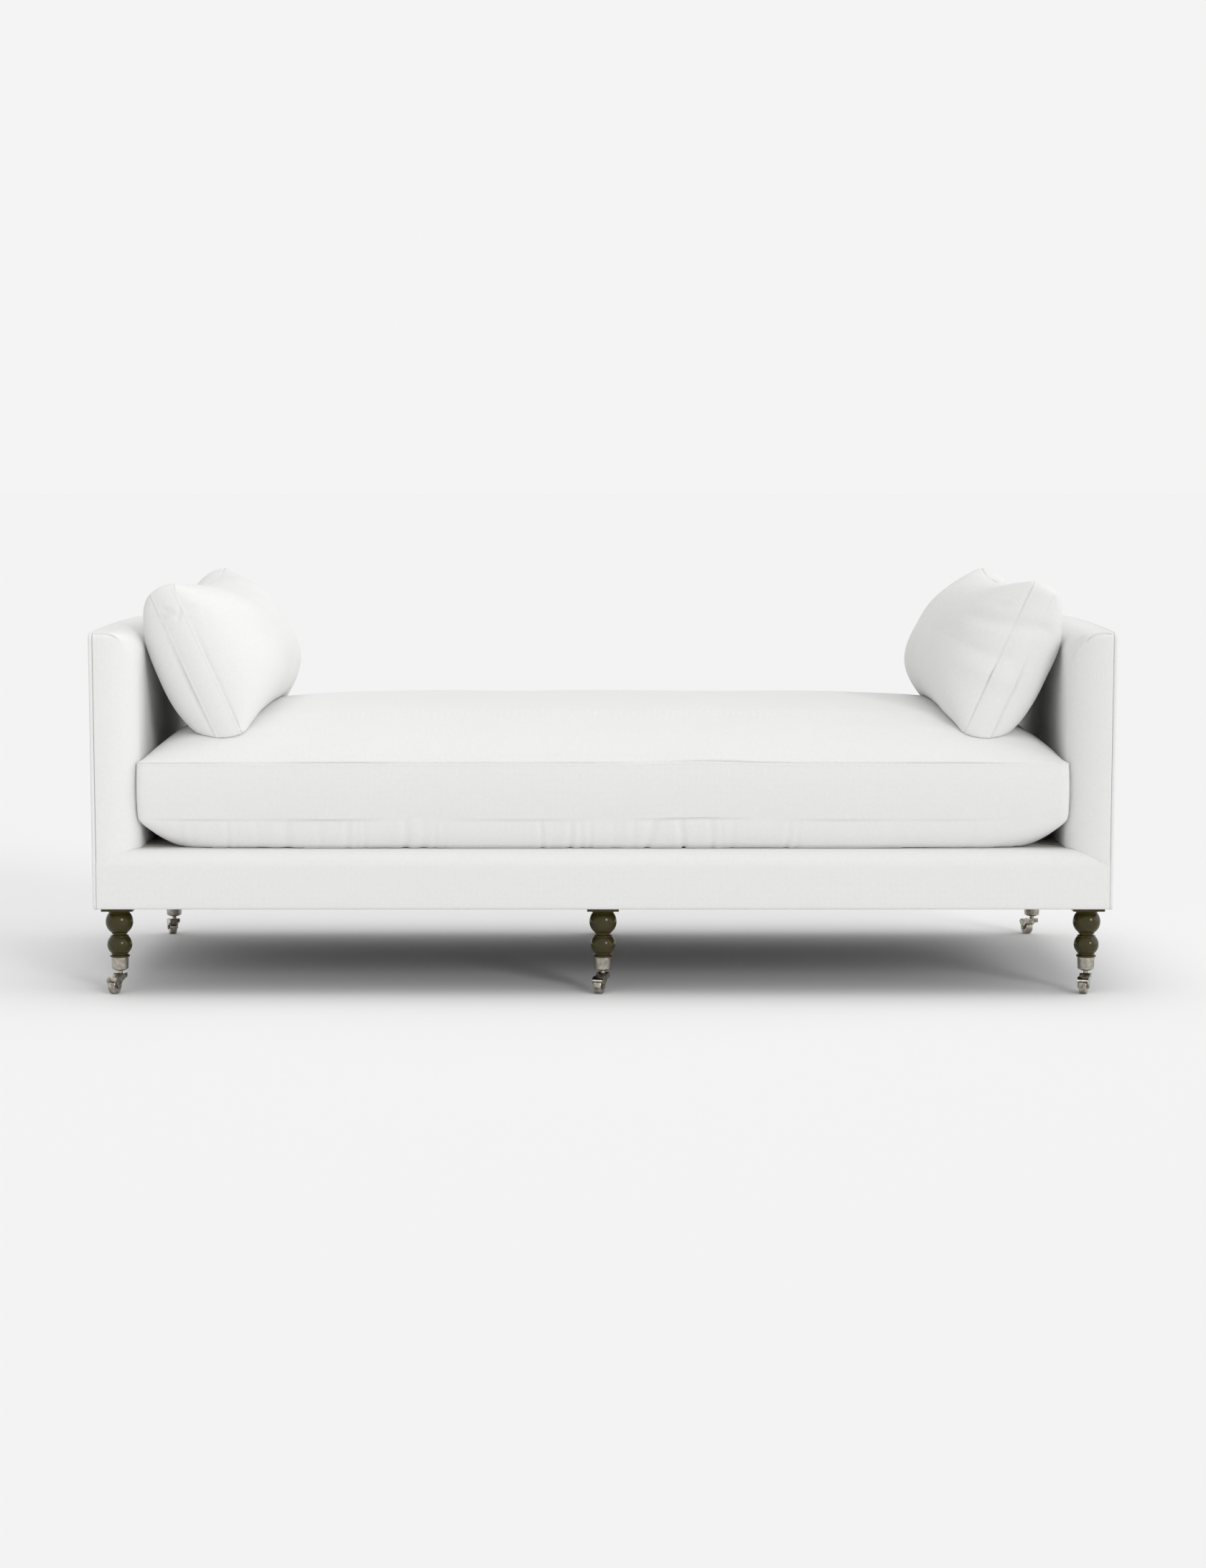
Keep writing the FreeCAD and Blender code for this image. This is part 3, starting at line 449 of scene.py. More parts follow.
# Deck cloth: the cloth that the cushion lies on, between the rails' rolled borders and the arms.
# White cotton calico, sewn to the rail covers' inner edges and drawn down flat.
# It is a plain matt weave, a shade duller than the linen, and hardly shows once the cushion lies on it.


def flat_cloth(reach, edge):
    """Points and faces of a flat sheet of cloth inside the room that it takes, about its own middle."""
    return boxed(slab(reach[0] - 0.001, reach[1] - 0.001, reach[2] - 0.0002, 0.0001), 0.03, edge, [0.0003])[:2]


calico_thread_spacing = 0.0005
calico = woven_cloth("white_calico", "#E6E5E0", "#D8D6CF", calico_thread_spacing, 0.4, 0.9, 0.0003)
cloth_middle, cloth_reach = room_of("deck_cloth")
points, faces = flat_cloth(cloth_reach, [0, 0.004, 0.010])
points[:, 2] -= 0.0001 + 0.0001 * waves(points, 0.2, 4)
points += cloth_middle
deck_cloth = piece_of("calico_deck_cloth", points, faces, calico, "frame", "deck_cloth", ["deck_cloth"])

# Dust cover: the cloth that closes the frame's underside.
# Black cambric with its edges turned in, stapled up to the rails round the legs.
# It is dull black, and sags a little between the rails.

cambric_thread_spacing = 0.0006
cambric = woven_cloth("black_cambric", "#202020", "#141414", cambric_thread_spacing, 0.4, 0.95, 0.0003)
dust_middle, dust_reach = room_of("dust_cover")
dust_sag = 0.003
dust_span = 0.5
dust_half_depth = 0.33
points, faces = flat_cloth(dust_reach, [0, 0.004, 0.010, 0.02])
spans = np.abs(np.sin(points[:, 0] / dust_span * math.pi)) ** 0.8
points[:, 2] -= dust_sag * spans * np.clip(1 - (points[:, 1] / dust_half_depth) ** 2, 0, 1)
points += dust_middle
dust_cover = piece_of("cambric_dust_cover", points, faces, cambric, "frame", "dust_cover", ["dust_cover"])

# Rail covers: the padded front and back of the seat, with a rolled top edge that runs in under the cushion.
# White linen over thin felt, drawn tight over the rail, turned under it and stapled.
# Linen is matt, nearly white, with uneven threads that run level and upright.

linen_thread_spacing = 0.0007
linen = woven_cloth("white_linen", "#F3F3F2", "#E8E8E7", linen_thread_spacing, 0.9, 0.86, 0.0007)
rail_roll_radius = 0.035
rail_hem_radius = 0.006
rail_unevenness = 0.0006
rail_wave_size = 0.35
rail_padding = 0.0115
rail_return_thickness = 0.0090
rail_hem_thickness = 0.0025
rail_hem_reach = 0.039
cover_low, cover_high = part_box("front_rail_cover")
face_y = cover_low.y
return_y = cover_high.y
hem_z = cover_low.z
deck_z = cover_high.z
cover_end = cover_high.x


def turn(middle, radius, start, end, count):
    """Points of an arc in the plane of depth and height, by degrees from +Y up."""
    angles = np.radians(np.linspace(start, end, count))
    return [(middle[0] + radius * math.cos(a), middle[1] + radius * math.sin(a)) for a in angles]


def rail_outline():
    """The rail cover's outline: hem, face, roll and the return over the rail, then back round the padding."""
    outline = turn((face_y + rail_hem_radius, hem_z + rail_hem_radius), rail_hem_radius, 270, 180, 7)
    outline += [(face_y, z) for z in np.linspace(hem_z + rail_hem_radius, deck_z - rail_roll_radius, 10)[1:-1]]
    outline += turn((face_y + rail_roll_radius, deck_z - rail_roll_radius), rail_roll_radius, 180, 90, 13)
    outline += [(y, deck_z) for y in np.linspace(face_y + rail_roll_radius, return_y, 5)[1:]]
    return_z, hem_top = deck_z - rail_return_thickness, hem_z + rail_hem_thickness
    timber_y, hem_y = face_y + rail_padding, face_y + rail_hem_reach
    outline += [(return_y, return_z), (timber_y, return_z), (timber_y, hem_top), (hem_y, hem_top), (hem_y, hem_z)]
    return np.array(outline)


def rail_cover(name, side, node, seed):
    """One rail's cover; side is 1 at the front and -1 at the back."""
    outline = rail_outline()
    xs = edge_steps(cover_end, [0, 0.002, 0.006, 0.015], 0.02)
    rings = np.array([[(x, y, z) for y, z in outline] for x in xs])
    points, faces = lofted(rings)
    showing = np.clip((points[:, 2] - hem_z) / 0.02, 0, 1) * (points[:, 1] < face_y + 0.004)
    points[:, 1] += rail_unevenness * waves(points * (1, 0, 1), rail_wave_size, seed) * showing
    points[:, 1] *= side
    return piece_of(name, points, turned_over(faces, side > 0), linen, "frame", "linen", [node])


for name, side, node, seed in (("front_rail_linen", 1, "front_rail_cover", 11),
                               ("back_rail_linen", -1, "back_rail_cover", 12)):
    rail_cover(name, side, node, seed)

# Arm covers: the padding over the front, the top, the inner side and the back of each arm.
# White linen over felt and foam, with large soft roundings towards the seat, stitched down along the rails' roll.
# The front is cut from another piece than the top, and one pleat takes up the spare cloth at each corner.

arm_edge_x = 1.046
arm_inner_x = 0.9595
arm_half_depth = 0.433
arm_height = 0.752
arm_crown = 0.007
arm_front_rounding = 0.062
arm_top_rounding = 0.048
arm_corner = 0.014
arm_inner_corner = 0.046
arm_padding = 0.008
arm_unevenness = 0.0009
arm_wave_size = 0.30
tuck_depth = 0.0022
pleat_start = 0.003
pleat_length = 0.053
pleat_turn = 50.0
pleat_arch = 16.0
pleat_width = 0.0011
pleat_depth = 0.0052


def over_arm(reach, top, corner, count):
    """The outline over an arm's top: round the front corner, along the crown and round the back corner."""
    radius = (reach ** 2 + arm_crown ** 2) / (2 * arm_crown)
    middle = top + arm_crown - radius
    across = reach - corner
    corner_z = middle + math.sqrt((radius - corner) ** 2 - across ** 2)
    tilt = math.degrees(math.atan2(across, corner_z - middle))
    front = turn((-across, corner_z), corner, 180, 90 + tilt, 19)
    crown = turn((0, middle), radius, 90 + tilt, 90 - tilt, count)
    return np.array(front + crown[1:-1] + [(-y, z) for y, z in front[::-1]])


def rail_top_at(reach):
    """The height of the rail cover's surface at a distance from the divan's middle."""
    over = max(0.0, reach - (arm_half_depth - rail_roll_radius))
    return deck_z - rail_roll_radius + math.sqrt(max(0.0, rail_roll_radius ** 2 - over ** 2))


def lowered_by(share_in):
    """How far an arm's top comes down, from 0 at its outer edge to its full rounding at its inner side."""
    return arm_top_rounding * (1 - np.sqrt(1 - share_in ** 2)) * np.clip((share_in - 0.4) / 0.6, 0.12, 1)


def places_of(mesh):
    """The points of a mesh."""
    places = np.zeros(len(mesh.vertices) * 3, np.float32)
    mesh.vertices.foreach_get("co", places)
    return places.reshape(-1, 3).astype(float)


def fold(cover):
    """Presses the pleat into an arm's cover: a short arched line under the top edge, at the front and the back."""
    points = places_of(cover.data)
    share = (arm_edge_x - np.abs(points[:, 0]) - pleat_start) / pleat_length
    share_in = np.clip((arm_edge_x - np.abs(points[:, 0])) / (arm_edge_x - arm_inner_x), 0, 1)
    crown = arm_height - lowered_by(share_in)
    turned = np.arctan2(points[:, 2] - crown + arm_corner, np.abs(points[:, 1]) - arm_half_depth + arm_corner)
    off = arm_corner * (turned - np.radians(pleat_turn + pleat_arch * (1 - (2 * share - 1) ** 2)))
    ends = np.clip(share / 0.08, 0, 1) * np.clip((1 - share) / 0.12, 0, 1)
    corner = np.abs(points[:, 1]) > arm_half_depth - 0.016
    groove = np.exp(-(off / pleat_width) ** 2) - 0.3 * np.exp(-((off - 2.2 * pleat_width) / (1.5 * pleat_width)) ** 2)
    out = np.stack([0 * off, np.sign(points[:, 1]) * np.cos(turned), np.sin(turned)], -1)
    push = (pleat_depth * groove * ends * corner)[:, None] * out
    cover.data.vertices.foreach_set("co", (points - push).astype(np.float32).ravel())
    cover.data.update()


def arm_cover(name, side, node, seed):
    """One arm's cover; side is -1 on the left and 1 on the right."""
    foot_shares = np.array([-0.006, -0.001, 0.003, 0.010, 0.025] + list(np.linspace(0.06, 1, 18)[:-1]))
    tucks = [1.0, 1.0, 0.45, 0.08] + [0.0] * (len(foot_shares) - 4)
    angles = np.radians(np.concatenate([[0, 1.5, 4], np.linspace(8, 90, 20)]))
    skin = []
    for angle in angles:
        reach = arm_half_depth - arm_front_rounding * (1 - math.cos(angle))
        share_in = math.sin(angle)
        corner = arm_corner + (arm_inner_corner - arm_corner) * min(1, max(0, (share_in - 0.62) / 0.38))
        over = over_arm(reach, arm_height - lowered_by(share_in), corner, 27)
        foot = rail_top_at(reach)
        start = over[0][1]
        x = arm_edge_x + (arm_inner_x - arm_edge_x) * share_in
        lead = (share_in, math.cos(angle))
        column = []
        for share, tuck in zip(foot_shares, tuck_depth * np.array(tucks)):
            column.append((x + tuck * lead[0], -reach + tuck * lead[1], foot + (start - foot) * share))
        rest = [(x, -y, z) for x, y, z in column[::-1]]
        skin.append(column + [(x, y, z) for y, z in over] + rest)
    skin = np.array(skin)
    rows = len(foot_shares)
    points = list(skin.reshape(-1, 3))
    height = skin.shape[1]
    faces = [(i * height + j, i * height + j + 1, (i + 1) * height + j + 1, (i + 1) * height + j)
             for i in range(len(angles) - 1) for j in range(height - 1)]
    last = (len(angles) - 1) * height
    over_count = height - 2 * rows
    inner = np.zeros((rows + 1, over_count), int)
    for j in range(over_count):
        inner[rows, j] = last + rows + j
    for i in range(rows):
        inner[i, 0] = last + i
        inner[i, over_count - 1] = last + height - 1 - i
        for j in range(1, over_count - 1):
            y, z = skin[-1, rows + j, 1:]
            foot = rail_top_at(0)
            inner[i, j] = len(points)
            points.append((arm_inner_x + tuck_depth * tucks[i], y, foot + (z - foot) * foot_shares[i]))
    faces += [(inner[i, j], inner[i + 1, j], inner[i + 1, j + 1], inner[i, j + 1])
              for i in range(rows) for j in range(over_count - 1)]
    points = np.array(points)
    soft = waves(points, arm_wave_size, seed) * arm_unevenness * np.clip((arm_edge_x - points[:, 0]) / 0.03, 0, 1)
    points[:, 0] += np.abs(soft)
    points[:, 0] *= side
    made = piece_of(name, points, turned_over(faces, side < 0), linen, "frame", "linen", [node])
    backing = made.modifiers.new("padding", "SOLIDIFY")
    backing.thickness = arm_padding
    backing.offset = -1
    finer = made.modifiers.new("rounded", "SUBSURF")
    finer.levels = finer.render_levels = 1
    made.data = bpy.data.meshes.new_from_object(made.evaluated_get(bpy.context.evaluated_depsgraph_get()))
    made.modifiers.clear()
    fold(made)
    return made


for name, side, node, seed in (("left_arm_linen", -1, "left_arm_cover", 21),
                               ("right_arm_linen", 1, "right_arm_cover", 22)):
    arm_cover(name, side, node, seed)

# Outer panels and their welts: the flat end of each arm, and the covered cord round it.
# One piece of linen over thin felt, blind-stitched inside a ring of cord wrapped in bias-cut linen.
# From the front the welt is the pale band, about 8 mm wide, that edges each arm.

welt_radius = 0.0037
welt_fullness = 0.8
welt_spread = 1.1
panel_face_x = 1.054
panel_drop = 0.002
panel_depth = 0.0078
panel_edge = 0.0030
panel_rise = 0.0026
panel_unevenness = 0.0003
panel_wave_size = 0.25


def panel_outline(inset):
    """The outer panel's outline, set in from its edge."""
    corner = arm_corner - inset
    reach = arm_half_depth - inset
    bottom = hem_z - panel_drop + inset
    over = [tuple(p) for p in over_arm(reach, arm_height - inset, corner, 41)]
    side_zs = np.linspace(bottom + corner, over[0][1], 22)[1:-1]
    front = [(-reach, z) for z in side_zs]
    back = [(reach, z) for z in side_zs[::-1]]
    under = turn((reach - corner, bottom + corner), corner, 0, -90, 9)
    under += [(y, bottom) for y in np.linspace(reach - corner, corner - reach, 41)[1:-1]]
    under += turn((corner - reach, bottom + corner), corner, 270, 180, 9)
    return np.array(front + over + back + under)


def arm_end(side, word):
    """The panel and the welt of one arm."""
    path = panel_outline(welt_radius)
    along = np.roll(path, -1, 0) - np.roll(path, 1, 0)
    across = np.stack([along[:, 1], -along[:, 0]], -1)
    across /= np.linalg.norm(across, axis=1)[:, None]
    middle_x = panel_face_x - welt_radius
    angles = np.linspace(0, 2 * math.pi, 16, endpoint=False)
    wide, deep = (np.sign(w) * np.abs(w) ** welt_fullness * welt_radius for w in (np.cos(angles), np.sin(angles)))
    rings = [[(middle_x + w * welt_spread, y + out_y * d, z + out_z * d) for w, d in zip(wide, deep)]
             for (y, z), (out_y, out_z) in zip(path, -across)]
    points, faces = lofted(rings, closed_along=True)
    points[:, 0] *= side
    faces = turned_over(faces, side > 0)
    welt = piece_of(word + "_welt_cord", points, faces, linen, "frame", "linen", [word + "_arm_welt"])
    outer = panel_outline(2 * welt_radius + 0.0002)
    middle = np.array([0.0, (arm_height + hem_z) / 2])
    rings = [[(panel_face_x - inwards, *p) for p in outer] for inwards in (panel_depth, panel_edge)]
    for share, lift in ((0.0015, 0.45), (0.006, 0.8), (0.02, 0.95), (0.06, 1), (0.2, 1), (0.5, 1), (0.8, 1)):
        ring = outer + (middle - outer) * share
        rings.append([(panel_face_x - panel_edge + panel_rise * lift, *p) for p in ring])
    points, faces = lofted(rings)
    raised = points[:, 0] > panel_face_x - 0.001
    points[:, 0] += panel_unevenness * waves(points, panel_wave_size, 31) * raised
    points[:, 0] *= side
    faces = turned_over(faces, side > 0)
    panel = piece_of(word + "_end_linen", points, faces, linen, "frame", "linen", [word + "_outer_panel"])


arm_end(-1, "left")
arm_end(1, "right")

# Bench cushion: a foam slab in a wrap of fibre, inside a boxed linen cover.
# The cover is two crowned panels sewn to one boxing strip, with the seam allowance pressed towards the strip.
# The lower panel is gathered into its seam, and the cushion lies loose on the deck.

core_middle, core_reach = room_of("seat_cushion_core")
foam_cell_size = 0.0025
foam = fibrous("cream_polyurethane_foam", "#EFE4C8", "#DCCDA8", foam_cell_size, 0.0006, 0.9)
points, faces, _ = boxed(slab(core_reach[0] - 0.002, core_reach[1] - 0.002, core_reach[2] - 0.001, 0.003),
                         0.04, [0, 0.004, 0.010, 0.02], [0.004, 0.012])
points += core_middle
core = piece_of("foam_bench_core", points, faces, foam, "seat_cushion", "filling", ["seat_cushion_core"])

bench_half_length = 0.9583
bench_half_width = 0.410
bench_half_boxing = 0.0585
bench_corner = 0.013
bench_corner_spread = 0.0045
bench_middle_z = 0.423
bench_crown = 0.110
bench_under_crown = 0.100
rest_clearance = 0.0006
seam_sink = 0.0010
allowance_width = 0.0056
allowance_height = 0.0006
allowance_edge = 0.0012
seam_drift = 0.0042
drift_place = 0.21
drift_reach = 0.10
gather_spread = 1.45
gather_start = 0.003
gather_reach = 0.085
gather_fade = 0.020
bench_lump_size = 0.22
bench_lump_height = 0.0012
side_clearance = 0.0008
bench_pitch = 0.0036
bench_rough_pitch = 0.014
bench_pressure = 0.8
bench_cap = 0.005
swell_frames = 20
# Each gather: its place along the front, how deep it is in millimetres, its half-width and how far it slants.
gathers = (
    (-0.874, 1.0, 0.006, 0.0), (-0.852, 0.9, 0.005, 0.002), (-0.778, 2.2, 0.005, 0.0), (-0.760, 1.0, 0.005, 0.0),
    (-0.716, 1.4, 0.006, 0.003), (-0.699, 1.0, 0.005, 0.0), (-0.656, 2.2, 0.008, 0.001), (-0.589, 1.3, 0.007, 0.003),
    (-0.528, 2.4, 0.006, -0.002), (-0.508, 1.4, 0.004, -0.003), (-0.495, 1.6, 0.005, 0.0), (-0.408, 3.0, 0.006, -0.002),
    (-0.371, 2.0, 0.007, -0.001), (-0.348, 1.6, 0.006, 0.0), (-0.330, 1.2, 0.005, 0.0), (-0.130, 2.8, 0.004, 0.004),
    (-0.066, 3.2, 0.005, -0.002), (-0.047, 2.6, 0.005, 0.004), (-0.029, 2.2, 0.005, 0.002), (0.023, 1.8, 0.006, 0.0),
    (0.039, 1.5, 0.005, -0.003), (0.064, 1.4, 0.005, 0.0), (0.106, 4.0, 0.007, -0.014), (0.158, 4.0, 0.006, 0.009),
    (0.222, 2.0, 0.006, 0.005), (0.245, 1.1, 0.006, 0.004), (0.267, 1.5, 0.006, 0.0), (0.387, 2.0, 0.005, -0.006),
    (0.406, 1.6, 0.004, -0.004), (0.600, 0.6, 0.010, 0.0), (0.760, 0.6, 0.010, 0.0),
)


def swell_of(height, along, across):
    """How a panel rises from its seams: its height, and how full it is both ways."""
    def rise(u, t):
        lengthways = np.clip(1 - np.abs(u) ** along[0], 0, 1) ** along[1]
        return height * lengthways * np.clip(1 - np.abs(t) ** across[0], 0, 1) ** across[1]
    return rise


def normals_of(points, faces):
    """The outward direction at each point of a mesh."""
    quads = np.array([f if len(f) == 4 else (*f, f[-1]) for f in faces])
    a, b, c, d = (points[quads[:, k]] for k in range(4))
    straight = np.cross(c - a, d - b)
    total = np.zeros_like(points)
    for k in range(4):
        np.add.at(total, quads[:, k], straight)
    return total / np.maximum(np.linalg.norm(total, axis=1), 1e-12)[:, None]


def swollen(fine, points, faces, sewn, pressure, cap):
    """Where a cover's cloth goes when its filling presses on it, with no point moved further than the cap.

    The cloth is simulated on a coarser mesh of the same cover, and the finer points follow it.
    """
    mesh = bpy.data.meshes.new("cloth")
    mesh.from_pydata([tuple(p) for p in points], [], [tuple(int(i) for i in f) for f in faces])
    cover = bpy.data.objects.new("cloth", mesh)
    scene = bpy.context.scene
    scene.collection.objects.link(cover)
    cover.vertex_groups.new(name="sewn").add([int(i) for i in sewn], 1.0, "REPLACE")
    cloth = cover.modifiers.new("swell", "CLOTH")
    cloth.settings.quality = 5
    cloth.settings.mass = 0.4
    cloth.settings.tension_stiffness = cloth.settings.compression_stiffness = 12
    cloth.settings.shear_stiffness = 4
    cloth.settings.bending_stiffness = 0.6
    cloth.settings.shrink_min = 0.0
    cloth.settings.use_pressure = True
    cloth.settings.uniform_pressure_force = pressure
    cloth.settings.vertex_group_mass = "sewn"
    cloth.settings.effector_weights.gravity = 0
    cloth.point_cache.frame_start, cloth.point_cache.frame_end = 1, swell_frames
    for step in range(1, swell_frames + 1):
        scene.frame_set(step)
    shown = cover.evaluated_get(bpy.context.evaluated_depsgraph_get()).to_mesh()
    shift = places_of(shown) - points
    scene.frame_set(1)
    bpy.data.objects.remove(cover)
    far = np.linalg.norm(shift, axis=1)
    shift *= (np.minimum(far, cap) / np.maximum(far, 1e-9))[:, None]
    near = KDTree(len(points))
    for i, point in enumerate(points):
        near.insert(Vector(point), i)
    near.balance()
    followed = np.zeros_like(fine)
    for i, point in enumerate(fine):
        found = near.find_n(Vector(point), 5)
        pull = np.array([1 / (distance + 0.002) ** 2 for _, _, distance in found])
        followed[i] = (shift[[k for _, k, _ in found]] * pull[:, None]).sum(0) / pull.sum()
    return fine + followed


def seams_of(parts):
    """The points of a boxed form's two seams, and of the strip's lines next to them."""
    return {i for loop in parts["loops"][:2] + parts["loops"][-2:] for i in loop}


def seam_band(points, parts, boxing, both):
    """Sinks a cover's seams, and raises the band of seam allowance next to them on the strip."""
    points = points.copy()
    outwards = np.concatenate([parts["outwards"], np.zeros((len(parts["outwards"]), 1))], 1)
    for number, loop in enumerate(parts["loops"]):
        if number in (0, len(parts["loops"]) - 1):
            points[loop] -= outwards * seam_sink
            continue
        height = points[loop, 2].mean()
        from_upper, from_lower = boxing - height, boxing + height
        near = from_upper if not both else min(from_upper, from_lower)
        raised = np.clip(near / allowance_edge, 0, 1) * np.clip((allowance_width - near) / allowance_edge, 0, 1)
        points[loop] += outwards * allowance_height * raised
    return points


edge_fine = [0, 0.0004, 0.0014, 0.003, 0.0055, 0.009, 0.0135, 0.019, 0.026, 0.034, 0.043, 0.053, 0.064, 0.077]
strip_fine = [0.0010, 0.0026, 0.0042, 0.0056, 0.0070, 0.010, 0.016, 0.026, 0.040]
bench_form = {
    "half_length": bench_half_length, "half_width": bench_half_width, "half_boxing": bench_half_boxing,
    "corner": bench_corner, "draw_in": 0.004, "bulge": 0.006, "across_pitch": 5.0,
    "over": swell_of(bench_crown, (6.0, 0.625), (3.0, 0.667)),
    "under": swell_of(bench_under_crown, (9.0, 0.58), (12.0, 0.6)),
}
floor_z = deck_z + rest_clearance - bench_middle_z


def on_deck(points):
    """Lays a cushion's lower panel flat on the deck, and finds the points that lie there."""
    lying = points[:, 2] < floor_z + 0.002
    points[lying, 2] = floor_z
    return lying


points, faces, parts = boxed(bench_form, bench_pitch, edge_fine, strip_fine)
on_deck(points)
rough, rough_faces, rough_parts = boxed(bench_form, bench_rough_pitch, [0, 0.006, 0.014, 0.026, 0.042],
                                        [0.008, 0.024, 0.042])
sewn = set(np.nonzero(on_deck(rough))[0]) | seams_of(rough_parts)
points = swollen(points, rough, rough_faces, sewn, bench_pressure, bench_cap)
points = seam_band(points, parts, bench_half_boxing, False)
normals = normals_of(points, faces)
below = -bench_half_boxing - points[:, 2]
fade = np.clip(below / gather_start, 0, 1) * np.clip((gather_reach - below) / gather_fade, 0, 1)
for back in (-1, 1):
    turned = np.clip(back * points[:, 1] / 0.10 - 2.6, 0, 1)
    for x, depth, width, slant in gathers:
        x, slant = (x, slant) if back < 0 else (0.02 - x, -slant)
        off = points[:, 0] - x - slant * below / 0.06
        width = gather_spread * width
        dip = np.exp(-(off / width) ** 2) - 0.42 * np.exp(-(off / (2.4 * width)) ** 2)
        points -= normals * (0.001 * depth * dip * fade * turned)[:, None]
at_front = np.clip(-points[:, 1] / 0.05 - 7, 0, 1) * (points[:, 2] > floor_z + 0.001)
points[:, 2] += seam_drift * np.exp(-((points[:, 0] - drift_place) / drift_reach) ** 2) * at_front
lumps = waves(points, bench_lump_size, 41) * bench_lump_height
lumps *= np.clip(np.abs(points[:, 2]) / bench_half_boxing, 0.4, 1)
lumps[parts["loops"][0] + parts["loops"][-1]] = 0
points += normals * lumps[:, None]
points[:, 2] = np.maximum(points[:, 2], floor_z)
at_corner = np.clip((np.abs(points[:, 1]) - 0.375) / 0.02, 0, 1)
points[:, 0] *= 1 + bench_corner_spread * at_corner * np.clip(np.abs(points[:, 0]) - 0.86, 0, 0.1) * 10
wall = arm_inner_x - side_clearance + bench_corner_spread * at_corner
points[:, 0] = np.clip(points[:, 0], -wall, wall)
points[:, 2] += bench_middle_z
bench = piece_of("bench_cushion_linen", points, faces, linen, "seat_cushion", "linen", ["seat_cushion"])
bench_tree = BVHTree.FromPolygons([Vector(p) for p in points], faces)

# Pillows: two boxed pillows that stand on the bench cushion and lean on the arms.
# Feather pads in ticking cases, inside linen covers with a panel on each side of a strip.
# Their corners stand out in ears, and each presses flat where it meets the arm and the cushion.

pillow_half_length = 0.340
pillow_half_width = 0.165
pillow_half_boxing = 0.027
pillow_crown = 0.130
pillow_arm_crown = 0.066
pillow_pitch = 0.0042
pillow_rough_pitch = 0.013
pillow_pressure = 1.6
pillow_cap = 0.008
pillow_sag = 0.19
pillow_lean = math.radians(24.2)
pillow_foot_x = -0.7805
pillow_foot_z = 0.5321
ear_start = 0.20
ear_length = 0.14
far_ear = 0.009
lower_ear = 0.011
far_top_lean = 0.024
far_top_rise = 0.010
pillow_lump_size = 0.16
pillow_lump_height = 0.0022
pillow_clearance = 0.0010
pillow_contact_z = 0.64
feather_pad_form = slab(0.286, 0.111, 0.038, 0.016)
feather_pad_offset = 0.0265
ticking_thread_spacing = 0.0004
ticking = woven_cloth("feather_ticking", "#EAE6DC", "#DCD6C8", ticking_thread_spacing, 0.4, 0.85, 0.0003)


def leaning(points, side):
    """Stands a pillow's points on the bench cushion with their top towards an arm."""
    sine, cosine = math.sin(pillow_lean), math.cos(pillow_lean)
    middle_x = pillow_foot_x - pillow_half_width * sine
    middle_z = pillow_foot_z + pillow_half_width * cosine
    x = middle_x - points[:, 1] * sine + points[:, 2] * cosine
    z = middle_z + points[:, 1] * cosine + points[:, 2] * sine
    return np.stack([x * -side, points[:, 0], z], -1)


def face_swell(u, t):
    """The panel that faces the seat: a little fuller below, and fuller near its upper corners than its lower ones."""
    lengthways = (1 - np.clip(np.abs(u), 0, 1) ** (3.8 + 2.4 * np.clip(t, 0, 1))) ** 0.6
    return pillow_crown * lengthways * np.clip(1 - np.abs(t) ** 2.6, 0, 1) ** 0.6 * (1 - pillow_sag * t)


pillow_form = {
    "half_length": pillow_half_length, "half_width": pillow_half_width, "half_boxing": pillow_half_boxing,
    "corner": 0.016, "draw_in": 0.015, "bulge": 0.005,
    "over": face_swell, "under": swell_of(pillow_arm_crown, (14.0, 0.5), (2.6, 0.55)),
}


def crease(points, start, end, width, depth):
    """How deep a crease near the front end presses in, from one place to another seen from the front."""
    start, end = np.array(start), np.array(end)
    line = end - start
    seen = points[:, ::2]
    share = ((seen - start) @ line) / (line @ line)
    off = np.linalg.norm(seen - start - np.clip(share, 0, 1)[:, None] * line, axis=1)
    along = np.clip(share / 0.35 + 0.5, 0, 1) * np.clip((1 - share) / 0.35 + 0.5, 0, 1)
    at_front = np.clip((-0.17 - points[:, 1]) / 0.10, 0, 1)
    return depth * along * at_front * (np.exp(-(off / width) ** 2) - 0.35 * np.exp(-(off / (2.2 * width)) ** 2))


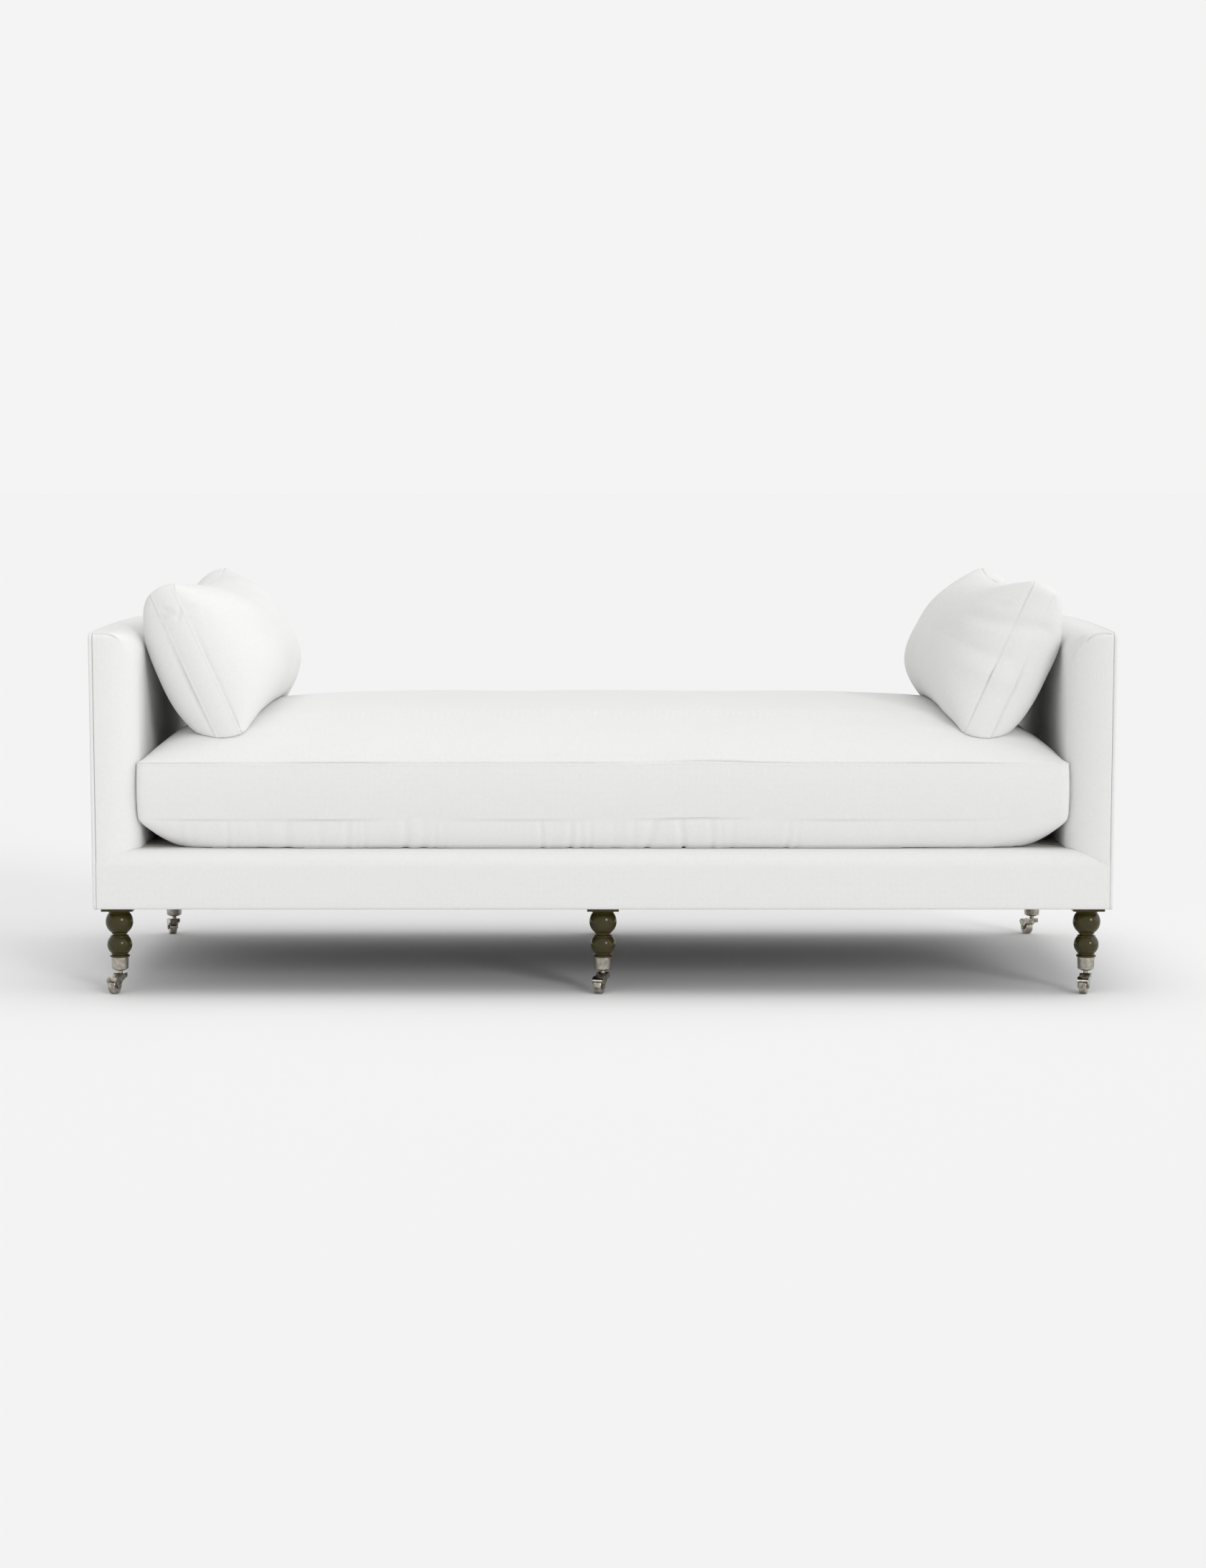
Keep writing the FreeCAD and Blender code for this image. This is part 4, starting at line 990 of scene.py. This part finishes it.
def pillow(word, side, near_ear, creases, seed):
    """One pillow; side is -1 on the left and 1 on the right."""
    points, faces, parts = boxed(pillow_form, pillow_pitch, edge_fine[:11],
                                 strip_fine[:6] + [0.0125, 0.0155, 0.0190, 0.0230])
    rough, rough_faces, rough_parts = boxed(pillow_form, pillow_rough_pitch, [0, 0.006, 0.014, 0.026],
                                            [0.007, 0.017])
    points = swollen(points, rough, rough_faces, seams_of(rough_parts), pillow_pressure, pillow_cap)
    points = seam_band(points, parts, pillow_half_boxing, True)
    at_end = np.clip((np.abs(points[:, 0]) - ear_start) / ear_length, 0, 1) ** 2
    upwards = np.clip(points[:, 1] / pillow_half_width, 0, 1)
    downwards = np.clip(-points[:, 1] / pillow_half_width, 0, 1)
    ears = np.where(points[:, 0] > 0, far_ear, near_ear) * upwards ** 2
    points[:, 1] += (ears - lower_ear * downwards ** 3) * at_end
    at_far_top = np.clip(points[:, 0] / pillow_half_length, 0, 1) ** 2 * upwards
    sine, cosine = math.sin(pillow_lean), math.cos(pillow_lean)
    points[:, 1] += (far_top_rise * cosine - far_top_lean * sine) * at_far_top
    points[:, 2] += (far_top_lean * cosine + far_top_rise * sine) * at_far_top
    press = waves(points, pillow_lump_size, seed) * pillow_lump_height
    press[parts["loops"][0] + parts["loops"][-1]] *= 0.3
    points += normals_of(points, faces) * press[:, None]
    points = leaning(points, side)
    faces = turned_over(faces, side > 0)
    normals = normals_of(points, faces)
    for start, end, width, depth in creases:
        points -= normals * crease(points, start, end, width, depth)[:, None]
    wall = arm_inner_x - pillow_clearance
    points[:, 0] = np.clip(points[:, 0], -wall, wall)
    for i, (x, y, z) in enumerate(points):
        if z < pillow_contact_z:
            hit = bench_tree.ray_cast(Vector((x, y, 0.8)), Vector((0, 0, -1)))[0]
            if hit is not None:
                points[i, 2] = max(z, hit.z + pillow_clearance)
    made = piece_of(word + "_pillow_linen", points, faces, linen, word + "_pillow", "linen", [word + "_pillow"])
    points, faces, _ = boxed(feather_pad_form, 0.02, [0, 0.004, 0.010, 0.02], [0.006])
    points[:, 2] += feather_pad_offset + 0.002 * waves(points, 0.08, seed + 5)
    points = leaning(points, side)
    faces = turned_over(faces, side > 0)
    pad = piece_of(word + "_pillow_feather_pad", points, faces, ticking, word + "_pillow", "filling",
                   [word + "_pillow_pad"])


# Each crease: where it starts and ends seen from the front, its half-width, and its depth, under 0 for a ridge.
left_creases = (
    ((-0.915, 0.798), (-0.886, 0.785), 0.0045, 0.0048),
    ((-0.883, 0.775), (-0.876, 0.792), 0.0045, 0.0056),
    ((-0.917, 0.775), (-0.900, 0.786), 0.0045, 0.0040),
    ((-0.940, 0.769), (-0.925, 0.774), 0.0045, 0.0032),
    ((-0.868, 0.795), (-0.850, 0.802), 0.0060, 0.0036),
)
right_creases = (
    ((0.775, 0.775), (0.925, 0.755), 0.016, 0.0060),
    ((0.905, 0.762), (0.928, 0.742), 0.008, 0.0013),
    ((0.745, 0.684), (0.865, 0.637), 0.022, -0.0038),
    ((0.760, 0.715), (0.860, 0.690), 0.014, 0.0024),
    ((0.820, 0.800), (0.850, 0.806), 0.008, 0.0026),
)
pillow("left", -1, 0.005, left_creases, 51)
pillow("right", 1, 0.012, right_creases, 52)

# Floor, light and camera. The floor and the backdrop are nearly one pale tone. A wide, even sky gives most
# of the light, and three soft lamps give the rest. The camera stands where the photograph was taken from.

backdrop_tone = "#F4F4F4"
floor_tone = "#F3F3F3"
floor_reach = 400.0
floor_mesh = bpy.data.meshes.new("studio_floor")
floor_mesh.from_pydata([(x * floor_reach, y * floor_reach, 0) for x, y in ((-1, -1), (1, -1), (1, 1), (-1, 1))],
                       [], [(0, 1, 2, 3)])
floor = bpy.data.objects.new("studio_floor", floor_mesh)
bpy.context.scene.collection.objects.link(floor)
paint, tree = new_finish("pale_studio_floor")
matt = add(tree, "ShaderNodeBsdfDiffuse", {"Color": linear(floor_tone)})
add(tree, "ShaderNodeOutputMaterial", {"Surface": matt.outputs[0]})
floor_mesh.materials.append(paint)

sky_strength = 0.685
world = bpy.data.worlds.new("even_sky")
world.use_nodes = True
world.node_tree.nodes.clear()
rays = add(world.node_tree, "ShaderNodeLightPath", {})
seen = add(world.node_tree, "ShaderNodeMath", {
    0: rays.outputs["Is Camera Ray"], 1: rays.outputs["Is Glossy Ray"]}, operation="MAXIMUM")
seen = add(world.node_tree, "ShaderNodeMath", {
    0: seen.outputs[0], 1: rays.outputs["Is Transmission Ray"]}, operation="MAXIMUM")
shine = add(world.node_tree, "ShaderNodeMix", {0: seen.outputs[0], 2: sky_strength, 3: 1.0})
sky = add(world.node_tree, "ShaderNodeBackground", {"Color": linear(backdrop_tone), "Strength": shine.outputs[0]})
add(world.node_tree, "ShaderNodeOutputWorld", {"Surface": sky.outputs[0]})
bpy.context.scene.world = world

# Each lamp: its name, strength, width in degrees, height in degrees, and its turn from the front to the right.
lamps = (("overhead_lamp", 0.66, 50, 90, 0), ("right_lamp", 0.52, 60, 30, 90), ("front_right_lamp", 0.73, 18, 22, 32))
for name, strength, width, height, turn_right in lamps:
    lamp = bpy.data.lights.new(name, "SUN")
    lamp.energy = strength
    lamp.angle = math.radians(width)
    up, round_right = math.radians(height), math.radians(turn_right)
    towards = Vector((math.cos(up) * math.sin(round_right), -math.cos(up) * math.cos(round_right), math.sin(up)))
    lamp_place = bpy.data.objects.new(name, lamp)
    lamp_place.rotation_euler = towards.to_track_quat("Z", "Y").to_euler()
    bpy.context.scene.collection.objects.link(lamp_place)

camera = bpy.data.cameras.new("camera")
camera.sensor_width = 36.0
camera.lens = 66.127
camera_place = bpy.data.objects.new("camera", camera)
camera_place.location = (0.0, -6.3226, 1.0518)
camera_place.rotation_euler = (math.radians(90 - 5.919), 0, 0)
bpy.context.scene.collection.objects.link(camera_place)
bpy.context.scene.camera = camera_place
bpy.context.scene.view_settings.view_transform = "Standard"
